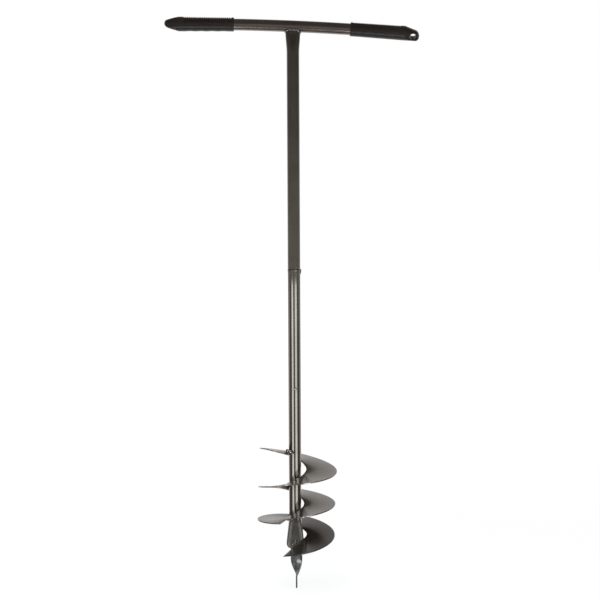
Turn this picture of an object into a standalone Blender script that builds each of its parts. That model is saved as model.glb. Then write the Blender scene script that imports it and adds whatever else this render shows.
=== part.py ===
"""Hand earth auger: a welded T handle, a two-piece tube shaft, three helical flights and a twisted point.

Metres, +Z up the shaft. The origin is the tip of the point, where the tool meets the ground.
+X runs along the handle to the right-hand grip, and -Y faces the person who looks at the front.
"""

import math

import bmesh
import bpy
from mathutils import Matrix, Vector

MM = 0.001
FULL_TURN = 2.0 * math.pi

# Clearance left between pieces that touch on the real tool
SEAT = 0.3 * MM

# Shaft
SHAFT_RADIUS = 12.0 * MM
SHAFT_WALL = 1.5 * MM
SHAFT_JOINT_HEIGHT = 621.4 * MM
SHAFT_JOINT_OPENING = 2.4 * MM
SHAFT_SIDES = 32

# Upper end of the shaft, pressed oval where it meets the handle
OVAL_HALF_DEPTH = 9.6 * MM
OVAL_LENGTH = 40.0 * MM

# Lower end of the shaft, pressed nearly flat over the tang of the point
PRESS_START_HEIGHT = 141.0 * MM
PRESS_FULL_HEIGHT = 92.0 * MM
PRESS_END_HEIGHT = 79.2 * MM
PRESS_CORNER_RADIUS = 9.0 * MM

# Handle bar: a tube that the welding has left a little tilted and drooping
BAR_RADIUS = 11.0 * MM
BAR_WALL = 1.5 * MM
BAR_HALF_LENGTH = 214.0 * MM
BAR_HEIGHT = 1085.6 * MM
BAR_SHIFT = -1.5 * MM
BAR_TILT = math.radians(2.6)
BAR_DROOP = 4.5 * MM
BAR_SPANS = 8

# Rubber grips: the body grows from one end to the other, and the nose is a wedge with a hanging hole
GRIP_LENGTH = 132.0 * MM
GRIP_FIT = 0.35 * MM
GRIP_END_GAP = 0.5 * MM
GRIP_WALL_AT_MOUTH = 2.2 * MM
GRIP_WALL_AT_NOSE = 2.8 * MM
GRIP_NOSE_LENGTH = 28.0 * MM
GRIP_NOSE_HALF_DEPTH = 5.0 * MM
GRIP_NOSE_DROP = 3.5 * MM
GRIP_TIP_ROUNDING = 5.0 * MM
GRIP_GROOVES = 4
GRIP_GROOVE_DEPTH = 0.9 * MM
GRIP_GROOVE_MARGIN = 10.0 * MM
GRIP_HOLE_RADIUS = 7.0 * MM
GRIP_HOLE_FROM_TIP = 12.8 * MM
GRIP_SIDES = 24
RIB_START = 4.0 * MM
RIB_PITCH = 4.0 * MM
RIB_COUNT = 23
RIB_DEPTH = 0.7 * MM
RIB_SET_BACK = 0.1 * MM
RIB_FACETS = 9
LEFT_GRIP_TURN = math.radians(-90.0)
RIGHT_GRIP_TURN = math.radians(33.5)

# Flights: each is one turn of plate, pulled open from a flat ring
FLIGHT_RADIUS = 75.0 * MM
FLIGHT_THICKNESS = 2.0 * MM
FLIGHT_TOP_ANGLE = math.radians(246.0)
FLIGHT_BOTTOM_ANGLE = math.radians(-110.0)
FREE_END_ANGLE = math.radians(213.0)
FREE_END_DROP = 16.0 * MM
FREE_END_DROP_FROM = math.radians(130.0)
FLIGHT_STEP = math.radians(6.0)
FLIGHT_BANDS = 3
HOLE_SIDES = 40
FLIGHT_FIT = 0.4 * MM

# Each flight as it was welded on: its height where it crosses its own right-hand side, its rise in a
# turn, its fall per metre to the right, its rise per metre to the back, the shift of its centre to the
# right and to the back, and how far its hole reaches to the right, back and front of the shaft's line
UPPER_FLIGHT_HEIGHT = 236.0 * MM
UPPER_FLIGHT_PITCH = 70.6 * MM
UPPER_FLIGHT_LEANS = (0.074, -0.014)
UPPER_FLIGHT_SHIFT = (6.3 * MM, 0.2 * MM)
UPPER_FLIGHT_HOLE = (21.8 * MM, 15.6 * MM, 15.6 * MM)
MIDDLE_FLIGHT_HEIGHT = 167.5 * MM
MIDDLE_FLIGHT_PITCH = 63.0 * MM
MIDDLE_FLIGHT_LEANS = (0.014, -0.034)
MIDDLE_FLIGHT_SHIFT = (3.0 * MM, 1.2 * MM)
MIDDLE_FLIGHT_HOLE = (17.1 * MM, 15.4 * MM, 13.6 * MM)
LOWER_FLIGHT_HEIGHT = 106.0 * MM
LOWER_FLIGHT_PITCH = 62.2 * MM
LOWER_FLIGHT_LEANS = (0.002, 0.090)
LOWER_FLIGHT_SHIFT = (1.6 * MM, -1.4 * MM)
LOWER_FLIGHT_HOLE = (22.0 * MM, 14.4 * MM, SHAFT_RADIUS + FLIGHT_FIT)
PRESSED_HOLE_FRONT = 6.6 * MM
PRESSED_HOLE_FULLNESS = 1.13
PRESSED_HOLE_TOP = 116.0 * MM

# Twisted point
POINT_WIDTH = 22.6 * MM
POINT_THICKNESS = 3.0 * MM
POINT_SHIFT = 2.0 * MM
TANG_WIDTH = 18.0 * MM
TANG_LENGTH = 16.0 * MM
TWIST_TOP_HEIGHT = 61.0 * MM
TWIST_BOTTOM_HEIGHT = 26.0 * MM
TWIST_ANGLE = math.radians(90.0)
TWIST_STEPS = 14
TIP_WIDTH = 2.4 * MM

# Weld beads
HANDLE_BEAD_RADIUS = 2.4 * MM
HANDLE_BEAD_STOP = math.radians(8.0)
FLIGHT_BEAD_RADIUS = 2.0 * MM
FLIGHT_BEAD_DIRECTIONS = (math.radians(135.0), math.radians(222.0))
FREE_END_BEAD_RADIUS = 3.2 * MM
FREE_END_BEAD_DIRECTIONS = (math.radians(160.0), math.radians(262.0))
JOINT_BEAD_RADIUS = 1.5 * MM
JOINT_BEAD_REACH = 34.0 * MM
END_BEAD_LEFT = -8.0 * MM
END_BEAD_RIGHT = 2.0 * MM
POINT_BEAD_RADIUS = 1.7 * MM
POINT_BEAD_LENGTH = 16.0 * MM
RING_WELD_PROUD = 0.6 * MM
RING_WELD_HALF_HEIGHT = 1.9 * MM
RING_RUN_PROUD = 1.6 * MM
RING_RUN_LENGTH = 6.0 * MM
RING_RUN_SPREAD = math.radians(11.0)
PLUG_HEIGHT = 392.9 * MM
PLUG_RADIUS = 4.2 * MM
PLUG_CROWN = 0.5 * MM
PLUG_SHIFT = 0.6 * MM


def clear_scene():
    """Remove every object of the scene."""
    for item in list(bpy.data.objects):
        bpy.data.objects.remove(item, do_unlink=True)


def new_collection(name):
    """Add an empty collection to the scene."""
    group = bpy.data.collections.new(name)
    bpy.context.scene.collection.children.link(group)
    return group


def new_finish(name, colour, roughness, metallic):
    """Make a plain finish: paint, rubber or weld metal."""
    finish = bpy.data.materials.new(name)
    finish.use_nodes = True
    shader = finish.node_tree.nodes["Principled BSDF"]
    shader.inputs["Base Color"].default_value = (*colour, 1.0)
    shader.inputs["Roughness"].default_value = roughness
    shader.inputs["Metallic"].default_value = metallic
    return finish


def add_piece(name, data, finish):
    """Add one piece of the tool with its own copy of a finish."""
    piece = bpy.data.objects.new(name, data)
    own = finish.copy()
    own.name = name
    data.materials.append(own)
    PARTS.objects.link(piece)
    return piece


def add_cutter(name, mesh):
    """Add a shape that only cuts others."""
    cutter = bpy.data.objects.new(name, mesh)
    cutter.hide_render = True
    cutter.display_type = "WIRE"
    CUTTERS.objects.link(cutter)
    return cutter


def cut(piece, cutter):
    """Take one shape out of a piece."""
    step = piece.modifiers.new("cut " + cutter.name, "BOOLEAN")
    step.operation = "DIFFERENCE"
    step.solver = "EXACT"
    step.object = cutter


def smooth(mesh, sharp_above=40.0):
    """Shade a mesh smooth, apart from edges sharper than an angle in degrees."""
    mesh.shade_smooth()
    mesh.set_sharp_from_angle(angle=math.radians(sharp_above))


def loft(name, rings, closed_path=False):
    """Skin a list of rings of points; a closed path joins the last ring to the first."""
    bm = bmesh.new()
    rows = [[bm.verts.new(point) for point in ring] for ring in rings]
    pairs = list(zip(rows, rows[1:]))
    if closed_path:
        pairs.append((rows[-1], rows[0]))
    count = len(rings[0])
    for low, high in pairs:
        for i in range(count):
            j = (i + 1) % count
            bm.faces.new((low[i], low[j], high[j], high[i]))
    if not closed_path:
        bm.faces.new(rows[0])
        bm.faces.new(rows[-1])
    bmesh.ops.recalc_face_normals(bm, faces=bm.faces)
    mesh = bpy.data.meshes.new(name)
    bm.to_mesh(mesh)
    bm.free()
    smooth(mesh)
    return mesh


def cylinder(name, radius, depth, sides=48):
    """A capped cylinder along Z, centred on its origin."""
    bm = bmesh.new()
    bmesh.ops.create_cone(bm, cap_ends=True, segments=sides, radius1=radius, radius2=radius, depth=depth)
    mesh = bpy.data.meshes.new(name)
    bm.to_mesh(mesh)
    bm.free()
    return mesh


def curve_as_mesh(name, curve):
    """Turn a curve into a welded mesh and drop the curve."""
    holder = bpy.data.objects.new(name + " path", curve)
    bpy.context.scene.collection.objects.link(holder)
    view = bpy.context.evaluated_depsgraph_get()
    mesh = bpy.data.meshes.new_from_object(holder.evaluated_get(view))
    bm = bmesh.new()
    bm.from_mesh(mesh)
    bmesh.ops.remove_doubles(bm, verts=bm.verts, dist=0.01 * MM)
    bmesh.ops.recalc_face_normals(bm, faces=bm.faces)
    bm.to_mesh(mesh)
    bm.free()
    bpy.data.objects.remove(holder, do_unlink=True)
    mesh.name = name
    mesh.materials.clear()
    return mesh


def path_curve(name, points, radius, swell=None, caps=True, resolution=2):
    """A round rod along a list of points; swell gives each point its share of the radius."""
    curve = bpy.data.curves.new(name, "CURVE")
    curve.dimensions = "3D"
    curve.bevel_depth = radius
    curve.bevel_resolution = resolution
    curve.use_fill_caps = caps
    spline = curve.splines.new("POLY")
    spline.points.add(len(points) - 1)
    for i, point in enumerate(points):
        spline.points[i].co = (*point, 1.0)
        spline.points[i].radius = swell[i] if swell else 1.0
    return curve


def outline_prism(name, outline, depth):
    """Extrude a flat outline in the XZ plane by the same depth to the front and to the back."""
    curve = bpy.data.curves.new(name, "CURVE")
    curve.dimensions = "2D"
    curve.fill_mode = "BOTH"
    curve.extrude = depth
    spline = curve.splines.new("POLY")
    spline.points.add(len(outline) - 1)
    for i, (x, z) in enumerate(outline):
        spline.points[i].co = (x, z, 0.0, 1.0)
    spline.use_cyclic_u = True
    mesh = curve_as_mesh(name, curve)
    mesh.transform(Matrix.Rotation(math.radians(90.0), 4, "X"))
    return mesh


def bead_swell(count, lumps, seed):
    """Thickness of a weld bead along its length: thin ends, and ripples that no two beads share."""
    shares = []
    for i in range(count):
        along = i / (count - 1)
        end = min(1.0, 0.45 + 3.2 * min(along, 1.0 - along))
        ripple = 0.06 * math.sin(lumps * FULL_TURN * along + seed)
        shares.append(end * (0.94 + ripple))
    return shares


# Shaft sections

def round_section(half_width, half_depth, flat, height, sides=SHAFT_SIDES):
    """One ring of tube: flat to the front and back as far as flat, with elliptical sides."""
    ring = []
    for i in range(sides):
        angle = FULL_TURN * (i + 0.5) / sides
        side = math.copysign(flat, math.cos(angle))
        x = side + (half_width - flat) * math.cos(angle)
        ring.append(Vector((x, half_depth * math.sin(angle), height)))
    return ring


def tube_wall(name, stations, wall):
    """A tube from stations of height, half width, half depth and flat: outside up, inside down."""
    outside = [round_section(w, d, flat, z) for z, w, d, flat in stations]
    inside = [round_section(w - wall, d - wall, flat, z) for z, w, d, flat in reversed(stations)]
    return loft(name, outside + inside, closed_path=True)


def pressed_half_depth(height):
    """Half depth of the lower tube, which closes steadily onto the tang below the press line."""
    closed = POINT_THICKNESS / 2.0 + SEAT + SHAFT_WALL
    share = (PRESS_START_HEIGHT - height) / (PRESS_START_HEIGHT - PRESS_FULL_HEIGHT)
    share = min(1.0, max(0.0, share))
    return SHAFT_RADIUS + (closed - SHAFT_RADIUS) * share


def pressed_half_width(half_depth):
    """Half width of a pressed tube, whose way round stays that of the round tube."""
    return math.pi / 2.0 * SHAFT_RADIUS - (math.pi / 2.0 - 1.0) * half_depth


def tube_half_width(height):
    """Half width of the lower tube at a height."""
    return pressed_half_width(pressed_half_depth(height))


def pressed_flat(half_depth):
    """Half width of the flat that a press leaves on the tube at a given half depth."""
    return math.sqrt(max(0.0, SHAFT_RADIUS ** 2 - half_depth ** 2))


def make_upper_shaft():
    """Upper length: round, then oval over its last stretch, and cut to the underside of the bar."""
    stations = [(SHAFT_JOINT_HEIGHT + SHAFT_JOINT_OPENING / 2.0, SHAFT_RADIUS, SHAFT_RADIUS, 0.0)]
    steps = 6
    for i in range(steps + 1):
        share = i / steps
        height = BAR_HEIGHT - BAR_RADIUS - OVAL_LENGTH * (1.0 - share)
        eased = share * share * (3.0 - 2.0 * share)
        half_depth = SHAFT_RADIUS + (OVAL_HALF_DEPTH - SHAFT_RADIUS) * eased
        half_width = math.sqrt(2.0 * SHAFT_RADIUS ** 2 - half_depth ** 2)
        stations.append((height, half_width, half_depth, 0.0))
    stations.append((BAR_HEIGHT, *stations[-1][1:]))
    tube = add_piece("upper_shaft_tube", tube_wall("upper_shaft_tube", stations, SHAFT_WALL), SHAFT_PAINT)
    seat = curve_as_mesh("bar seat", path_curve("bar seat", bar_line(), BAR_RADIUS + SEAT, resolution=10))
    cut(tube, add_cutter("bar seat", seat))
    return tube


def make_lower_shaft():
    """Lower length: round, then pressed flat over the tang, with rounded lower corners."""
    heights = [PRESS_END_HEIGHT - 2.0 * MM, PRESS_FULL_HEIGHT]
    steps = 8
    for i in range(1, steps + 1):
        share = i / steps
        heights.append(PRESS_FULL_HEIGHT + (PRESS_START_HEIGHT - PRESS_FULL_HEIGHT) * share)
    heights.append(SHAFT_JOINT_HEIGHT - SHAFT_JOINT_OPENING / 2.0)
    stations = []
    for height in heights:
        half_depth = pressed_half_depth(height)
        stations.append((height, pressed_half_width(half_depth), half_depth, pressed_flat(half_depth)))
    tube = add_piece("lower_shaft_tube", tube_wall("lower_shaft_tube", stations, SHAFT_WALL), SHAFT_PAINT)
    cut(tube, add_cutter("press corners", press_corner_cutter()))
    drill = add_cutter("plug hole", cylinder("plug hole", PLUG_RADIUS + SEAT, SHAFT_RADIUS, 24))
    drill.rotation_euler = (math.radians(90.0), 0.0, 0.0)
    drill.location = (PLUG_SHIFT, -SHAFT_RADIUS, PLUG_HEIGHT)
    cut(tube, drill)
    return tube


def press_corner_cutter():
    """Everything below the rounded end of the pressed tube, seen from the front."""
    half_width = tube_half_width(PRESS_END_HEIGHT)
    inner = half_width - PRESS_CORNER_RADIUS
    top = PRESS_END_HEIGHT + PRESS_CORNER_RADIUS
    below = PRESS_END_HEIGHT - 10.0 * MM
    beyond = half_width + 10.0 * MM
    right = []
    steps = 7
    for i in range(steps + 1):
        angle = math.radians(90.0) * i / steps
        x = inner + PRESS_CORNER_RADIUS * math.cos(angle)
        right.append((x, top - PRESS_CORNER_RADIUS * math.sin(angle)))
    outline = [(beyond, below), (beyond, top)] + right
    outline += [(-x, z) for x, z in reversed(right)] + [(-beyond, top), (-beyond, below)]
    return outline_prism("press corners", outline, 2.0 * SHAFT_RADIUS)


# Handle bar and grips

def bar_centre(x):
    """Centre of the bar at a distance to the right of the shaft."""
    along = x - BAR_SHIFT
    return BAR_HEIGHT - math.tan(BAR_TILT) * along - BAR_DROOP * (along / BAR_HALF_LENGTH) ** 2


def bar_line():
    """Points along the centre of the bar, from its left end to its right end."""
    points = []
    for i in range(BAR_SPANS + 1):
        x = BAR_SHIFT + BAR_HALF_LENGTH * (2.0 * i / BAR_SPANS - 1.0)
        points.append(Vector((x, 0.0, bar_centre(x))))
    return points


def make_bar():
    """The bar: an open tube along its line, with its wall inside."""
    curve = path_curve("crossbar_tube", bar_line(), BAR_RADIUS, caps=False, resolution=10)
    mesh = curve_as_mesh("crossbar_tube", curve)
    smooth(mesh)
    bar = add_piece("crossbar_tube", mesh, BAR_PAINT)
    wall = bar.modifiers.new("wall", "SOLIDIFY")
    wall.thickness = BAR_WALL
    wall.offset = -1.0
    wall.use_even_offset = True
    return bar


def grip_body_radius(along):
    """Radius of the round body of a grip, which swells evenly towards its nose."""
    share = min(1.0, along / (GRIP_LENGTH - GRIP_NOSE_LENGTH))
    return BAR_RADIUS + GRIP_WALL_AT_MOUTH + (GRIP_WALL_AT_NOSE - GRIP_WALL_AT_MOUTH) * share


def groove_depth(along, angle):
    """How deep the finger grooves cut into the side opposite the ribs."""
    length = GRIP_LENGTH - GRIP_NOSE_LENGTH - 2.0 * GRIP_GROOVE_MARGIN
    share = (along - GRIP_GROOVE_MARGIN) / length
    if share <= 0.0 or share >= 1.0:
        return 0.0
    wave = 0.5 - 0.5 * math.cos(FULL_TURN * GRIP_GROOVES * share)
    facing = max(0.0, -math.sin(angle))
    return GRIP_GROOVE_DEPTH * wave * facing ** 2


def grip_section(along):
    """One ring of a grip: round on the body, cut flat on two sides along the nose."""
    nose = along - (GRIP_LENGTH - GRIP_NOSE_LENGTH)
    radius = grip_body_radius(along)
    half_depth = radius
    half_width = radius
    drop = 0.0
    if nose > 0.0:
        share = nose / GRIP_NOSE_LENGTH
        half_depth = radius + (GRIP_NOSE_HALF_DEPTH - radius) * share
        drop = GRIP_NOSE_DROP * share ** 2
        end = max(0.0, nose - (GRIP_NOSE_LENGTH - radius)) / radius
        half_width = radius * math.sqrt(max(0.0, 1.0 - end * end))
        round_off = max(0.0, nose - (GRIP_NOSE_LENGTH - GRIP_TIP_ROUNDING)) / GRIP_TIP_ROUNDING
        half_depth *= math.sqrt(max(0.0, 1.0 - round_off * round_off))
    ring = []
    for i in range(GRIP_SIDES):
        angle = FULL_TURN * (i + 0.5) / GRIP_SIDES
        reach = radius - groove_depth(along, angle)
        y = max(-half_depth, min(half_depth, reach * math.sin(angle)))
        z = half_width / radius * reach * math.cos(angle) - drop
        ring.append(Vector((along, y, z)))
    return ring


def grip_stations():
    """Distances along a grip where its section is drawn, closer together round the tip."""
    body = GRIP_LENGTH - GRIP_NOSE_LENGTH
    spans = GRIP_GROOVES * 4
    first = [0.0]
    for i in range(spans + 1):
        first.append(GRIP_GROOVE_MARGIN + (body - 2.0 * GRIP_GROOVE_MARGIN) * i / spans)
    nose = [body + GRIP_NOSE_LENGTH * share for share in (0.0, 0.02, 0.35)]
    steps = 8
    for i in range(steps):
        share = math.sin(math.radians(90.0) * i / steps)
        nose.append(GRIP_LENGTH - GRIP_HOLE_FROM_TIP * (1.0 - share))
    nose.append(GRIP_LENGTH - 0.1 * MM)
    return first + nose


def rib_comb(name):
    """A comb that presses cross ribs into the side of a grip opposite its finger grooves."""
    first = (GRIP_SIDES // 2 - RIB_FACETS) // 2
    rings = []
    for i in range(2 * RIB_COUNT + 1):
        along = RIB_START + RIB_PITCH * i / 2.0
        reach = grip_body_radius(along) - RIB_SET_BACK - RIB_DEPTH * (i % 2)
        ring = []
        for j in range(RIB_FACETS + 1):
            angle = FULL_TURN * (first + j + 0.5) / GRIP_SIDES
            ring.append(Vector((along, reach * math.sin(angle), reach * math.cos(angle))))
        above = GRIP_LENGTH / 4.0
        ring += [Vector((along, above, ring[-1].z)), Vector((along, above, ring[0].z))]
        rings.append(ring)
    return loft(name, rings)


def make_grip(name, side, turn):
    """A grip: mouth towards the shaft, turned about the bar, with its bore and hanging hole."""
    mesh = loft(name, [grip_section(along) for along in grip_stations()])
    grip = add_piece(name, mesh, RUBBER)
    bore_length = GRIP_LENGTH - GRIP_NOSE_LENGTH
    bore_mesh = cylinder(name + " bore", BAR_RADIUS + GRIP_FIT, 2.0 * bore_length, 40)
    bore_mesh.transform(Matrix.Rotation(math.radians(90.0), 4, "Y"))
    hole_mesh = cylinder(name + " hole", GRIP_HOLE_RADIUS, 6.0 * GRIP_HOLE_RADIUS, 28)
    hole_mesh.transform(Matrix.Rotation(math.radians(90.0), 4, "X"))
    hole_share = 1.0 - GRIP_HOLE_FROM_TIP / GRIP_NOSE_LENGTH
    hole_place = Vector((GRIP_LENGTH - GRIP_HOLE_FROM_TIP, 0.0, -GRIP_NOSE_DROP * hole_share ** 2))
    hole_mesh.transform(Matrix.Translation(hole_place))
    place = grip_place(side, turn)
    grip.matrix_world = place
    for cutter_mesh in (bore_mesh, hole_mesh, rib_comb(name + " ribs")):
        cutter = add_cutter(cutter_mesh.name, cutter_mesh)
        cutter.matrix_world = place
        cut(grip, cutter)
    return grip


def grip_place(side, turn):
    """Where a grip sits: its bore lies along the chord of the drooping bar that it covers."""
    covered = GRIP_LENGTH - GRIP_NOSE_LENGTH - GRIP_END_GAP
    bar_end = BAR_SHIFT + side * BAR_HALF_LENGTH
    mouth = bar_end - side * covered
    start = Vector((mouth, 0.0, bar_centre(mouth)))
    end = Vector((bar_end, 0.0, bar_centre(bar_end)))
    bulge = bar_centre((mouth + bar_end) / 2.0) - (start.z + end.z) / 2.0
    place = end - (end - start).normalized() * covered + Vector((0.0, 0.0, bulge / 2.0))
    slope = math.atan2(end.z - start.z, abs(end.x - start.x))
    tilt = Matrix.Rotation(-slope * side, 4, "Y")
    facing = Matrix.Rotation(0.0 if side > 0 else math.pi, 4, "Z")
    return Matrix.Translation(place) @ tilt @ Matrix.Rotation(turn, 4, "X") @ facing


# Flights

class Flight:
    """One turn of helical plate, placed and leaning as it was welded on.

    The values are those listed with the sizes. The hole lies against the tube on the left. A free upper
    end is drawn down towards the tube.
    """

    def __init__(self, name, height, pitch, leans, shift, hole):
        self.name = name
        self.height = height
        self.pitch = pitch
        self.side_lean, self.front_lean = leans
        self.shift = Vector(shift)
        self.hole_right, self.hole_back, self.hole_front = hole
        self.hole_left = tube_half_width(height + pitch * 0.35) + FLIGHT_FIT
        self.top_angle = FLIGHT_TOP_ANGLE
        self.end_drop = 0.0

    def with_free_end(self, top_angle, end_drop):
        """End the plate at an angle, with its inner edge drawn down by a length there."""
        self.top_angle = top_angle
        self.end_drop = end_drop
        return self

    def rise(self, x, y, angle):
        """Height of the middle of the plate over a point, at an angle counted from the right."""
        turn = self.pitch * angle / FULL_TURN
        drop = 0.0
        if self.end_drop and angle > FREE_END_DROP_FROM:
            share = (angle - FREE_END_DROP_FROM) / (self.top_angle - FREE_END_DROP_FROM)
            inward = 1.0 - (math.hypot(x, y) - SHAFT_RADIUS) / (FLIGHT_RADIUS - SHAFT_RADIUS)
            drop = self.end_drop * share ** 2 * min(1.0, max(0.0, inward))
        return self.height + turn - self.side_lean * x + self.front_lean * y - drop

    def angle_at(self, x, y, near):
        """Angle of a point about the plate's centre, on the turn closest to a given angle."""
        angle = math.atan2(y - self.shift.y, x - self.shift.x)
        return angle + FULL_TURN * round((near - angle) / FULL_TURN)

    def top_over(self, x, y, near, above):
        """Height at which something round of a given radius rests on the plate."""
        here = self.rise(x, y, self.angle_at(x, y, near))
        step = 0.2 * MM
        east = self.rise(x + step, y, self.angle_at(x + step, y, near)) - here
        north = self.rise(x, y + step, self.angle_at(x, y + step, near)) - here
        slope = math.hypot(east, north) / step
        return here + (FLIGHT_THICKNESS / 2.0 + SEAT + above) * math.hypot(1.0, slope)


UPPER_FLIGHT = Flight("upper_flight", UPPER_FLIGHT_HEIGHT, UPPER_FLIGHT_PITCH, UPPER_FLIGHT_LEANS,
                      UPPER_FLIGHT_SHIFT, UPPER_FLIGHT_HOLE).with_free_end(FREE_END_ANGLE, FREE_END_DROP)
MIDDLE_FLIGHT = Flight("middle_flight", MIDDLE_FLIGHT_HEIGHT, MIDDLE_FLIGHT_PITCH, MIDDLE_FLIGHT_LEANS,
                       MIDDLE_FLIGHT_SHIFT, MIDDLE_FLIGHT_HOLE)
LOWER_FLIGHT = Flight("lower_flight", LOWER_FLIGHT_HEIGHT, LOWER_FLIGHT_PITCH, LOWER_FLIGHT_LEANS,
                      LOWER_FLIGHT_SHIFT, LOWER_FLIGHT_HOLE)



def hole_outline(flight):
    """The hole of a flight: a quarter of an ellipse towards each side."""
    outline = []
    for i in range(HOLE_SIDES):
        angle = FULL_TURN * (i + 0.5) / HOLE_SIDES
        across = flight.hole_right if math.cos(angle) > 0.0 else flight.hole_left
        along = flight.hole_back if math.sin(angle) > 0.0 else flight.hole_front
        outline.append((across * math.cos(angle), along * math.sin(angle)))
    return outline


def pressed_hole_outline(flight):
    """The hole of the lowest flight beside the pressed tube: its front edge closes in on the flat."""
    outline = []
    for x, y in hole_outline(flight):
        if y < 0.0:
            angle = math.atan2(y, x)
            share = max(0.0, math.cos(angle)) ** PRESSED_HOLE_FULLNESS
            reach = PRESSED_HOLE_FRONT + (flight.hole_right - PRESSED_HOLE_FRONT) * share
            side = flight.hole_left if x < 0.0 else reach
            x = side * math.cos(angle)
            y = reach * math.sin(angle)
        outline.append((x, y))
    return outline


def hole_cutter(name, outline, bottom, top):
    """A straight-sided cutter between two heights."""
    rings = [[Vector((x, y, height)) for x, y in outline] for height in (bottom, top)]
    return add_cutter(name, loft(name, rings))


def make_flight(flight):
    """A radial edge turned into one turn of helicoid, set to its leans, thickened and bored."""
    inner = 0.5 * (PRESSED_HOLE_FRONT if flight is LOWER_FLIGHT else SHAFT_RADIUS)
    bm = bmesh.new()
    start = Matrix.Rotation(FLIGHT_BOTTOM_ANGLE, 3, "Z")
    base = flight.pitch * FLIGHT_BOTTOM_ANGLE / FULL_TURN
    line = []
    for i in range(FLIGHT_BANDS + 1):
        reach = inner + (FLIGHT_RADIUS - inner) * (i / FLIGHT_BANDS) ** 1.3
        line.append(bm.verts.new(start @ Vector((reach, 0.0, 0.0)) + Vector((0.0, 0.0, base))))
    for low, high in zip(line, line[1:]):
        bm.edges.new((low, high))
    profile = bpy.data.meshes.new(flight.name + " edge")
    bm.to_mesh(profile)
    bm.free()
    holder = bpy.data.objects.new(flight.name + " edge", profile)
    bpy.context.scene.collection.objects.link(holder)
    span = flight.top_angle - FLIGHT_BOTTOM_ANGLE
    screw = holder.modifiers.new("turn", "SCREW")
    screw.angle = span
    screw.screw_offset = flight.pitch * span / FULL_TURN
    screw.steps = round(span / FLIGHT_STEP)
    screw.render_steps = screw.steps
    screw.use_merge_vertices = False
    view = bpy.context.evaluated_depsgraph_get()
    mesh = bpy.data.meshes.new_from_object(holder.evaluated_get(view))
    bpy.data.objects.remove(holder, do_unlink=True)
    for vertex in mesh.vertices:
        angle = FULL_TURN * vertex.co.z / flight.pitch
        x = vertex.co.x + flight.shift.x
        y = vertex.co.y + flight.shift.y
        vertex.co = (x, y, flight.rise(x, y, angle))
    mesh.name = flight.name
    smooth(mesh)
    plate = add_piece(flight.name, mesh, FLIGHT_PAINT)
    wall = plate.modifiers.new("thickness", "SOLIDIFY")
    wall.thickness = FLIGHT_THICKNESS
    wall.offset = 0.0
    wall.use_even_offset = True
    above = flight.height + flight.pitch * 1.2
    below = flight.height - flight.pitch * 0.8
    if flight is LOWER_FLIGHT:
        cut(plate, hole_cutter("pressed hole", pressed_hole_outline(flight), below, PRESSED_HOLE_TOP))
        below = PRESSED_HOLE_TOP - SEAT
    cut(plate, hole_cutter(flight.name + " hole", hole_outline(flight), below, above))
    return plate


# Point

def point_section(height, width, turn):
    """A flat-bar section turned about the shaft's line."""
    spin = Matrix.Rotation(turn, 3, "Z")
    ring = []
    for sx, sy in ((-1, -1), (1, -1), (1, 1), (-1, 1)):
        corner = spin @ Vector((sx * width / 2.0, sy * POINT_THICKNESS / 2.0, 0.0))
        ring.append(corner + Vector((POINT_SHIFT, 0.0, height)))
    return ring


def make_point():
    """The point: tang, shoulders, a quarter turn of twist and a spear-shaped end."""
    shoulder = PRESS_END_HEIGHT - SEAT
    rings = [point_section(shoulder + TANG_LENGTH, TANG_WIDTH, 0.0),
             point_section(shoulder, TANG_WIDTH, 0.0),
             point_section(shoulder - SEAT, POINT_WIDTH, 0.0)]
    for i in range(TWIST_STEPS + 1):
        share = i / TWIST_STEPS
        height = TWIST_TOP_HEIGHT + (TWIST_BOTTOM_HEIGHT - TWIST_TOP_HEIGHT) * share
        rings.append(point_section(height, POINT_WIDTH, -TWIST_ANGLE * share))
    rings.append(point_section(0.0, TIP_WIDTH, -TWIST_ANGLE))
    return add_piece("point_blade", loft("point_blade", rings), POINT_PAINT)


# Welds

def make_bead(name, points, radius, swell, finish):
    """A weld bead: a rod of changing thickness along its line."""
    return add_piece(name, path_curve(name, points, radius, swell), finish)


def handle_bead_line(first, last, swell):
    """Line of a bead that lies in the corner between the oval tube end and the round bar."""
    half_width = math.sqrt(2.0 * SHAFT_RADIUS ** 2 - OVAL_HALF_DEPTH ** 2)
    points = []
    for i, share in enumerate(swell):
        angle = first + (last - first) * i / (len(swell) - 1)
        off = SEAT + HANDLE_BEAD_RADIUS * share
        out = Vector((math.cos(angle) / half_width, math.sin(angle) / OVAL_HALF_DEPTH)).normalized() * off
        x = half_width * math.cos(angle) + out.x
        y = OVAL_HALF_DEPTH * math.sin(angle) + out.y
        below = math.sqrt(max(0.0, (BAR_RADIUS + off) ** 2 - y * y))
        points.append(Vector((x, y, bar_centre(x) - below)))
    return points


def make_handle_welds():
    """Two passes, front and back, each starting and ending at a side of the shaft."""
    stop = HANDLE_BEAD_STOP
    for name, first, last in (("handle_weld_front", stop - math.pi, -stop),
                              ("handle_weld_back", stop, math.pi - stop)):
        swell = bead_swell(17, 5.0, first)
        points = handle_bead_line(first, last, swell)
        make_bead(name, points, HANDLE_BEAD_RADIUS, swell, WELD_METAL)


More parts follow.
